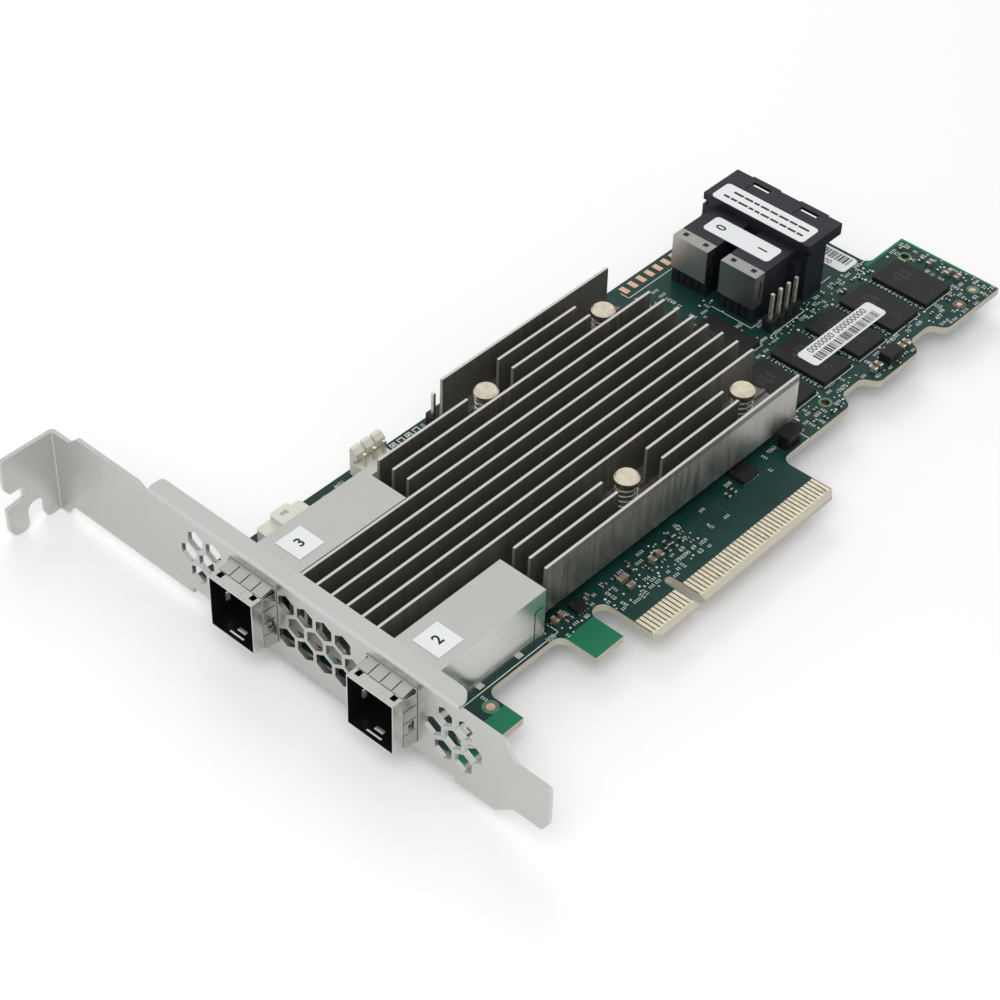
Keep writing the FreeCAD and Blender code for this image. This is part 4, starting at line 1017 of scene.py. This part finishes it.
# ------------------------------------------------------------------ board print
@dataclass
class BoardPrint:
    """White print on the board: outlines, ticks, dots and plain figures.

    Each mark draws a number: below dot_share it is a dot, below text_share a few figures, and
    otherwise a row of ticks.
    """

    board: Board
    dot_share: float = 0.3
    text_share: float = 0.68
    gap: float = 0.35
    tick_len: float = 0.75
    tick_pitch: float = 1.3
    height: float = 0.02
    stroke: float = 0.17
    seed: int = 11

    def build(self, ink: Material) -> None:
        """Makes all the print with one ink."""
        maker = Maker()
        self.outlines(maker)
        self.boxes(maker)
        self.scatter(maker)
        maker.piece("board_print", ink, Slot.LABEL)

    def angle(self, maker: Maker, corner: Pair, along: float, upward: float) -> None:
        """Adds an L of two strokes that meet in a corner."""
        z = (0.0, self.height)
        maker.line(corner, (corner[0] + along, corner[1]), self.stroke, z)
        maker.line(corner, (corner[0], corner[1] + upward), self.stroke, z)

    def outlines(self, maker: Maker) -> None:
        """Outlines around chips, the cage, the double connector and the test pads."""
        z = (0.0, self.height)
        for low, high in [node_box(name) for name in (*MEMORY, "flash_chip")]:
            left, right, bottom = low.x - self.gap, high.x + self.gap, low.y - self.gap
            self.angle(maker, (right, bottom), left - right, 2.4)
            for k in range(9):
                y = bottom + 0.6 + k * self.tick_pitch
                maker.line((left, y), (left, y + self.tick_len), self.stroke, z)
            maker.disc(left - 0.4, high.y - 0.3, *z, 0.32)
        low, high = node_box("connector_housing")
        shell = node_box("connector_shell_1")[0]
        base = low.y + 1.9
        self.angle(maker, (shell.x - 0.6, base), 3.6, 10.0)
        maker.line((shell.x + 14.0, base - 1.2), (high.x - 1.0, base - 1.2), self.stroke, z)
        low, high = node_box("pin_header")
        self.angle(maker, (high.x + 0.5, low.y - 0.5), low.x - high.x - 1.0, 1.6)
        cage_end = node_box("port_cage_1")[1].x + 2.6
        self.angle(maker, (cage_end, 13.3), -47.0 - cage_end, 2.7)
        pads = islands("board_lands")
        left, right = min(p[0].x for p in pads) - 0.7, max(p[1].x for p in pads) + 1.4
        self.angle(maker, (left, min(p[0].y for p in pads) - 1.2), right - left, 2.1)
        low, high = node_box("power_inductor")
        self.angle(maker, (high.x + 0.9, low.y - 0.7), low.x - high.x - 0.9, 2.3)
        self.angle(maker, (node_box("memory_chip_5")[0].x + 1.0, 37.6), 4.2, -2.2)

    def boxes(self, maker: Maker) -> None:
        """Small printed frames of parts that aren't fitted, along the top edge."""
        z = (0.0, self.height)
        low = node_box("lock_connector")[1].x + 1.0
        edge = node_box("circuit_board")[1].y - 0.5
        for k in range(6):
            x = low + k * 2.05
            if not self.board.claim(x + 0.7, edge - 0.7, (0.75, 0.75)):
                continue
            for y in (edge - 1.35, edge - 0.15):
                maker.block((x, y - 0.1, z[0]), (x + 1.4, y + 0.1, z[1]))
            for u in (x + 0.1, x + 1.3):
                maker.block((u - 0.1, edge - 1.24, z[0]), (u + 0.1, edge - 0.26, z[1]))
            if k % 2:
                maker.block((x + 0.4, edge - 0.95, z[0]), (x + 1.0, edge - 0.45, z[1]))

    def scatter(self, maker: Maker) -> None:
        """Ticks, dots and plain figures wherever the board is bare."""
        rng = random.Random(self.seed)
        # across, upward and number of tries in each part of the board
        fields = (
            ((-27.0, -12.0), (11.0, 16.8), 120), ((-12.0, 12.0), (7.4, 16.4), 380),
            ((12.0, 38.0), (8.6, 16.0), 12), ((40.0, 60.0), (12.8, 19.0), 60),
            ((60.0, 110.5), (12.8, 19.2), 300), ((48.0, 98.0), (34.2, 37.6), 200),
            ((62.0, 98.0), (37.6, 54.0), 200), ((103.5, 110.5), (19.0, 35.6), 80),
            ((-30.0, 48.0), (64.6, 67.4), 60), ((48.0, 62.0), (48.8, 63.0), 26),
            ((-47.0, -27.0), (11.4, 13.0), 8),
        )
        for across, upward, tries in fields:
            for _ in range(tries):
                self.mark(maker, rng, (rng.uniform(*across), rng.uniform(*upward)))

    def mark(self, maker: Maker, rng: random.Random, spot: Pair) -> None:
        """Puts one mark on the board if there is room.

        Args:
            maker: The mesh that takes it.
            rng: Chooses its kind, size and direction.
            spot: Its middle.
        """
        z = (0.0, self.height)
        kind = rng.random()
        turn = rng.choice((0, 0, 90))
        if kind < self.dot_share:
            if self.board.claim(*spot, (0.3, 0.3)):
                maker.disc(*spot, *z, rng.choice((0.17, 0.22, 0.27)), 10)
            return
        count = rng.choice((2, 3, 3, 4))
        if kind < self.text_share:
            height = rng.choice((0.75, 0.85, 0.95))
            half = (count * height * 0.36, height / 2 + 0.05)
            if self.board.claim(*spot, half if turn == 0 else half[::-1]):
                text = "".join(rng.choice("0123456789") for _ in range(count))
                maker.digits(text, spot, height, turn, z)
            return
        half = (count * 0.28, 0.35)
        if self.board.claim(*spot, half if turn == 0 else half[::-1]):
            for k in range(count):
                step = (k - (count - 1) / 2) * 0.5
                u, v = (step, 0.25) if turn == 0 else (0.25, step)
                ends = ((u, -v), (u, v)) if turn == 0 else ((-u, v), (u, v))
                a, b = [(spot[0] + p[0], spot[1] + p[1]) for p in ends]
                maker.line(a, b, self.stroke, z)


# ------------------------------------------------------------------ inductor
@dataclass
class Inductor:
    """A wound power inductor: two rounded flanges and a slimmer winding between them."""

    flange_t: float = 0.55
    corner_r: float = 1.25
    inset: float = 0.35

    def build(self, body: Material) -> None:
        """Makes it inside the solid that it replaces."""
        low, high = node_box("power_inductor")
        maker = Maker()
        for z in ((0.0, self.flange_t), (high.z - self.flange_t, high.z)):
            maker.plate(rectangle((low.x, high.x), (low.y, high.y)), z, self.corner_r)
        inner = rectangle((low.x + self.inset, high.x - self.inset),
                          (low.y + self.inset, high.y - self.inset))
        maker.plate(inner, (self.flange_t, high.z - self.flange_t), self.corner_r - 0.1)
        maker.piece("inductor_body", body, Slot.CHIP, replaces=("power_inductor",))


# ------------------------------------------------------------------ bare metal
@dataclass
class BareMetal:
    """Hole barrels, alignment dots, contact tails, screws and the cages' inner springs."""

    hole_places: tuple[Pair, ...] = ((58.0, 16.6), (106.4, 32.5))
    dot_places: tuple[Triple, ...] = ((107.0, 16.1, 0.55), (-43.85, 10.0, 0.8))
    hole_r: float = 0.9
    film: float = 0.012
    board_t: float = 1.57
    leaf_z: Pair = (3.5, 5.15)

    def build(self, copper: Material, rim: Material, dull: Material, gold: Material,
              screw: Material, spring: Material) -> None:
        """Makes the bare metal pieces.

        Args:
            copper: Finish of the dots.
            rim: Finish of the bare laminate round them.
            dull: Finish of the holes' barrels.
            gold: Finish of the contacts' tails.
            screw: Finish of the screws.
            spring: Finish of the cages' springs.
        """
        self.dots(copper, rim, dull)
        self.tails(gold)
        self.screws(screw)
        self.leaves(spring)

    def dots(self, copper: Material, rim: Material, dull: Material) -> None:
        """Rings round the tooling holes and the alignment dots.

        Args:
            copper: Finish of the dots.
            rim: Finish of the rings.
            dull: Finish of the holes' barrels.
        """
        metal, clear, barrel = Maker(), Maker(), Maker()
        for spot in self.hole_places:
            wall = (self.hole_r - 0.08, self.hole_r - 0.01)
            barrel.tube(spot, wall, (-self.board_t, self.film))
            clear.tube(spot, (self.hole_r, self.hole_r + 0.5), (0.0, self.film))
        for x, y, radius in self.dot_places:
            metal.disc(x, y, 0.0, 0.03, radius, 32)
            clear.tube((x, y), (radius, radius + 0.75), (0.0, self.film))
        metal.piece("alignment_dots", copper, Slot.COPPER)
        clear.piece("clear_rings", rim, Slot.BOARD)
        barrel.piece("hole_barrels", dull, Slot.COPPER)

    def tails(self, gold: Material) -> None:
        """Thin plating tails that run from the contacts to the bevel."""
        maker = Maker()
        for low, high in islands("edge_contacts"):
            if low.z < -0.1:
                continue
            middle = (low.x + high.x) / 2 + 0.12
            maker.line((middle, low.y), (middle, low.y - 0.35), 0.16, (-0.02, self.film))
        maker.piece("contact_tails", gold, Slot.GOLD)

    def screws(self, steel: Material) -> None:
        """Low domed screws with a cross recess."""
        maker = Maker()
        for low, high in islands("bracket_screws"):
            middle = middle_of(low, high).to_2d()
            r = (high.x - low.x) / 2
            top = high.z
            outline = [(1.25, low.z), (1.45, low.z + 0.25), (1.45, 0.0), (r, 0.02), (r, top * 0.45),
                       (r * 0.93, top * 0.72), (r * 0.72, top * 0.92), (r * 0.6, top * 0.99),
                       (1.5, top * 0.99), (1.0, top * 0.35)]
            maker.rings(middle, outline, 48, {8: (1.5, 0.34), 9: (1.0, 0.2)})
        maker.piece("foot_screws", steel, Slot.SCREW, replaces=("bracket_screws",))

    def leaves(self, steel: Material) -> None:
        """Bent spring leaves in the side windows of both cages."""
        maker = Maker()
        corners = [(-0.6, 0.0), (0.0, -0.35), (0.6, 0.0), (0.6, 0.12), (0.0, -0.22), (-0.6, 0.12)]
        for name in ("port_cage_1", "port_cage_2"):
            low, high = node_box(name)
            x = low.x + 3.9
            for side in (-1, 1):
                wall = middle_of(low, high).y + side * 5.0
                outline = [(x + u, wall + side * (v - 0.1)) for u, v in corners]
                maker.plate(outline if side > 0 else outline[::-1], self.leaf_z)
        maker.piece("cage_springs", steel, Slot.CAGE)


# ------------------------------------------------------------------ labels
@dataclass
class Labels:
    """Label stock with rounded corners, and the plain figures and bars printed on labels."""

    corner_r: float = 0.9
    ink_t: float = 0.02
    memory_z: float = 1.0
    dash_seed: int = 3
    stock: Maker = field(default_factory=Maker)
    ink: Maker = field(default_factory=Maker)

    def build(self, paper: Material, ink: Material) -> None:
        """Makes the stiff labels and prints all of them.

        Args:
            paper: Finish of the stock.
            ink: Finish of the print.
        """
        self.stiff("connector_label")
        self.stiff("flange_label")
        self.stiff("memory_label", self.memory_z)
        self.stiff("serial_label")
        self.ports()
        self.connector()
        self.flange()
        self.memory()
        self.serial()
        self.stock.piece("stiff_labels", paper, Slot.LABEL, replaces=(
            "connector_label", "flange_label", "memory_label", "serial_label"))
        self.ink.piece("label_print", ink, Slot.CHIP)

    def stiff(self, node: str, base: float | None = None) -> None:
        """Adds one label with rounded corners."""
        low, high = node_box(node)
        start = low.z if base is None else base
        self.stock.plate(rectangle((low.x, high.x), (low.y, high.y)),
                         (start, start + high.z - low.z), self.corner_r)

    def face(self, node: str) -> tuple[Vector, Vector, Pair]:
        """Corners of a label, and the bottom and top of the ink on it."""
        low, high = node_box(node)
        return low, high, (high.z, high.z + self.ink_t)

    def ports(self) -> None:
        """One figure on each external port's label."""
        for low, high in islands("port_labels"):
            middle = middle_of(low, high).to_2d()
            figure = "2" if middle.y < 40 else "3"
            self.ink.digits(figure, middle, 2.1, 0, (high.z, high.z + self.ink_t), 0.07)

    def connector(self) -> None:
        """A figure at each end of the internal connector's label."""
        low, high, z = self.face("connector_label")
        x = (low.x + high.x) / 2
        self.ink.digits("0", (x, high.y - 3.0), 2.2, 0, z, 0.06)
        self.ink.digits("1", (x, low.y + 3.0), 2.2, 0, z, 0.06)

    def flange(self) -> None:
        """Two rows of short dashes."""
        low, high, z = self.face("flange_label")
        rng = random.Random(self.dash_seed)
        for x in (low.x + 1.9, low.x + 4.0):
            y = low.y + 1.6
            while y < high.y - 3.0:
                run = rng.uniform(0.5, 2.0)
                self.ink.line((x, y), (x, y + run), 0.6, z)
                y += run + 0.95

    def memory(self) -> None:
        """Bars along one side and a row of plain figures along the other."""
        low, high = node_box("memory_label")
        top = self.memory_z + high.z - low.z
        z = (top, top + self.ink_t)
        self.bars((low.x + 2.0, high.x - 1.6), (low.y + 0.45, low.y + 2.5), z, 9, True)
        middle = (low.x + high.x) / 2
        self.ink.digits("0000000 000000000", (middle, high.y - 1.3), 1.55, 0, z)

    def serial(self) -> None:
        """Bars and a row of plain figures."""
        low, high, z = self.face("serial_label")
        self.bars((low.y + 1.0, high.y - 1.0), (high.x - 3.0, high.x - 0.5), z, 4, False)
        self.ink.digits("00000000", (low.x + 1.15, low.y + 7.5), 1.3, 90, z)

    def bars(self, along: Pair, across: Pair, z: Pair, seed: int, on_x: bool) -> None:
        """Uneven bars side by side that encode nothing."""
        rng = random.Random(seed)
        at = along[0]
        while at < along[1]:
            width = rng.choice((0.14, 0.14, 0.28, 0.42))
            low, high = (at, across[0], z[0]), (at + width, across[1], z[1])
            if not on_x:
                low, high = (across[0], at, z[0]), (across[1], at + width, z[1])
            self.ink.block(low, high)
            at += width + rng.choice((0.16, 0.16, 0.32))


# ------------------------------------------------------------------ springs
@dataclass
class Springs:
    """Coil springs under the heat sink's pin heads."""

    wire: float = 0.5
    turns: float = 5.0

    def build(self, steel: Material) -> None:
        """Makes the four coils."""
        maker = Maker()
        base = node_box("heat_sink_springs")
        for low, high in islands("heat_sink_pins"):
            middle = middle_of(low, high)
            radius = (high.x - low.x) / 2 - self.wire / 2 - 0.1
            maker.coil(middle.x, middle.y, (base[0].z, base[1].z), radius, self.wire, self.turns)
        maker.piece("pin_springs", steel, Slot.SPRING, smooth=True, replaces=("heat_sink_springs",))


# ------------------------------------------------------------------ studio
@dataclass
class Studio:
    """Pale floor, soft light and the camera."""

    azimuth: float = 41.042
    elevation: float = 42.876
    roll: float = 1.906
    distance: float = 445.42
    aim: Triple = (-5.32, 42.99, 0.0)
    lens: float = 88.185
    floor_drop: float = 0.2
    floor_size: float = 4000.0
    floor_glow: float = 0.14
    soft_level: float = 0.55

    def camera(self) -> None:
        """Stands the camera at its angle and makes it the scene's."""
        a, e, r = (math.radians(v) for v in (self.azimuth, self.elevation, self.roll))
        ahead = Vector((math.cos(e) * math.cos(a), math.cos(e) * math.sin(a), -math.sin(e)))
        right = ahead.cross(Vector((0.0, 0.0, 1.0))).normalized()
        down = ahead.cross(right)
        right_r = right * math.cos(r) - down * math.sin(r)
        down_r = right * math.sin(r) + down * math.cos(r)
        turned = Matrix((right_r, -down_r, -ahead)).transposed().to_4x4()
        stand = (Vector(self.aim) - ahead * self.distance) * MM
        data = bpy.data.cameras.new("camera")
        data.lens = self.lens
        data.sensor_width = 36.0
        data.clip_start = 0.01
        camera = bpy.data.objects.new("camera", data)
        camera.matrix_world = Matrix.Translation(stand) @ turned
        bpy.context.scene.collection.objects.link(camera)
        bpy.context.scene.camera = camera

    def floor(self) -> None:
        """Wide pale floor under the card."""
        maker = bmesh.new()
        low_z = cad_box[0][2] - self.floor_drop * MM
        bmesh.ops.create_grid(maker, x_segments=1, y_segments=1, size=self.floor_size * MM / 2,
                              matrix=Matrix.Translation((0.0, 0.0, low_z)))
        data = bpy.data.meshes.new("floor")
        maker.to_mesh(data)
        maker.free()
        art = NodeArt.surface("floor paper")
        seen = art.node("ShaderNodeLightPath", {}, {}, "Is Camera Ray")
        glow = art.blend((0.0, 0.0, 0.0), (self.floor_glow,) * 3, seen)
        art.set(base_color=(0.93, 0.93, 0.93), roughness=0.9, emission_color=glow,
                emission_strength=1.0, specular_ior_level=0.0)
        data.materials.append(art.owner)
        floor = bpy.data.objects.new("floor", data)
        bpy.context.scene.collection.objects.link(floor)

    def lamp(self, name: str, place: Triple, aim: Triple, size: float, power: float) -> None:
        """Adds one soft square lamp.

        Args:
            name: Its name.
            place: Where it stands, in millimetres.
            aim: What it looks at, in millimetres.
            size: Side of the square, in millimetres.
            power: Watts.
        """
        data = bpy.data.lights.new(name, "AREA")
        data.shape = "SQUARE"
        data.size = size * MM
        data.energy = power
        lamp = bpy.data.objects.new(name, data)
        look = (Vector(aim) - Vector(place)).to_track_quat("-Z", "Y")
        lamp.matrix_world = Matrix.Translation(Vector(place) * MM) @ look.to_matrix().to_4x4()
        lamp.visible_glossy = False
        bpy.context.scene.collection.objects.link(lamp)

    def world(self) -> None:
        """White surroundings for the eye and for reflections, softer as a light."""
        world = bpy.data.worlds.new("studio")
        bpy.context.scene.world = world
        art = NodeArt(world, "ShaderNodeBackground")
        camera = art.node("ShaderNodeLightPath", {}, {}, "Is Camera Ray")
        mirror = art.node("ShaderNodeLightPath", {}, {}, "Is Glossy Ray")
        seen = camera.either(mirror)
        art.set(color=(1.0, 1.0, 1.0), strength=seen * (1.0 - self.soft_level) + self.soft_level)

    def build(self) -> None:
        """Sets up the whole studio."""
        self.camera()
        self.floor()
        self.world()
        self.lamp("key", (-320.0, -160.0, 520.0), (10.0, 40.0, 0.0), 420.0, 1.5)
        self.lamp("back", (260.0, 420.0, 420.0), (20.0, 40.0, 0.0), 380.0, 0.9)
        bpy.context.scene.view_settings.view_transform = "Standard"


def main() -> None:
    """Builds the card's looks in order."""
    logging.basicConfig(level=logging.INFO, format="%(message)s")
    Studio().build()
    solids = SolidFinishes()
    solids.dress()
    made = solids.made
    white_ink = Finish("board ink", (0.72, 0.74, 0.72), 0.6).material()
    black_ink = Finish("label ink", (0.015, 0.015, 0.016), 0.6).material()
    faint_ink = Finish("chip marks", (0.040, 0.038, 0.036), 0.6).material()
    clear = Finish("clear laminate", (0.085, 0.20, 0.115), 0.5).material()
    dull = Plated("dull copper", (0.22, 0.15, 0.10), 0.5).material()
    tin = Plated("tin", (0.72, 0.71, 0.67), 0.3).material()
    board = Board()
    SmallParts(board).build(tin, made["capacitor body"], made["resistor body"])
    Chips().build(made["chip moulding"], faint_ink, tin, made["bare copper"])
    Inductor().build(made["inductor body"])
    BoardPrint(board).build(white_ink)
    BareMetal().build(made["bare copper"], clear, dull, made["contact plating"],
                      made["screw plating"], made["spring wire"])
    Labels().build(made["label stock"], black_ink)
    Springs().build(made["spring wire"])


if __name__ == "__main__":
    main()
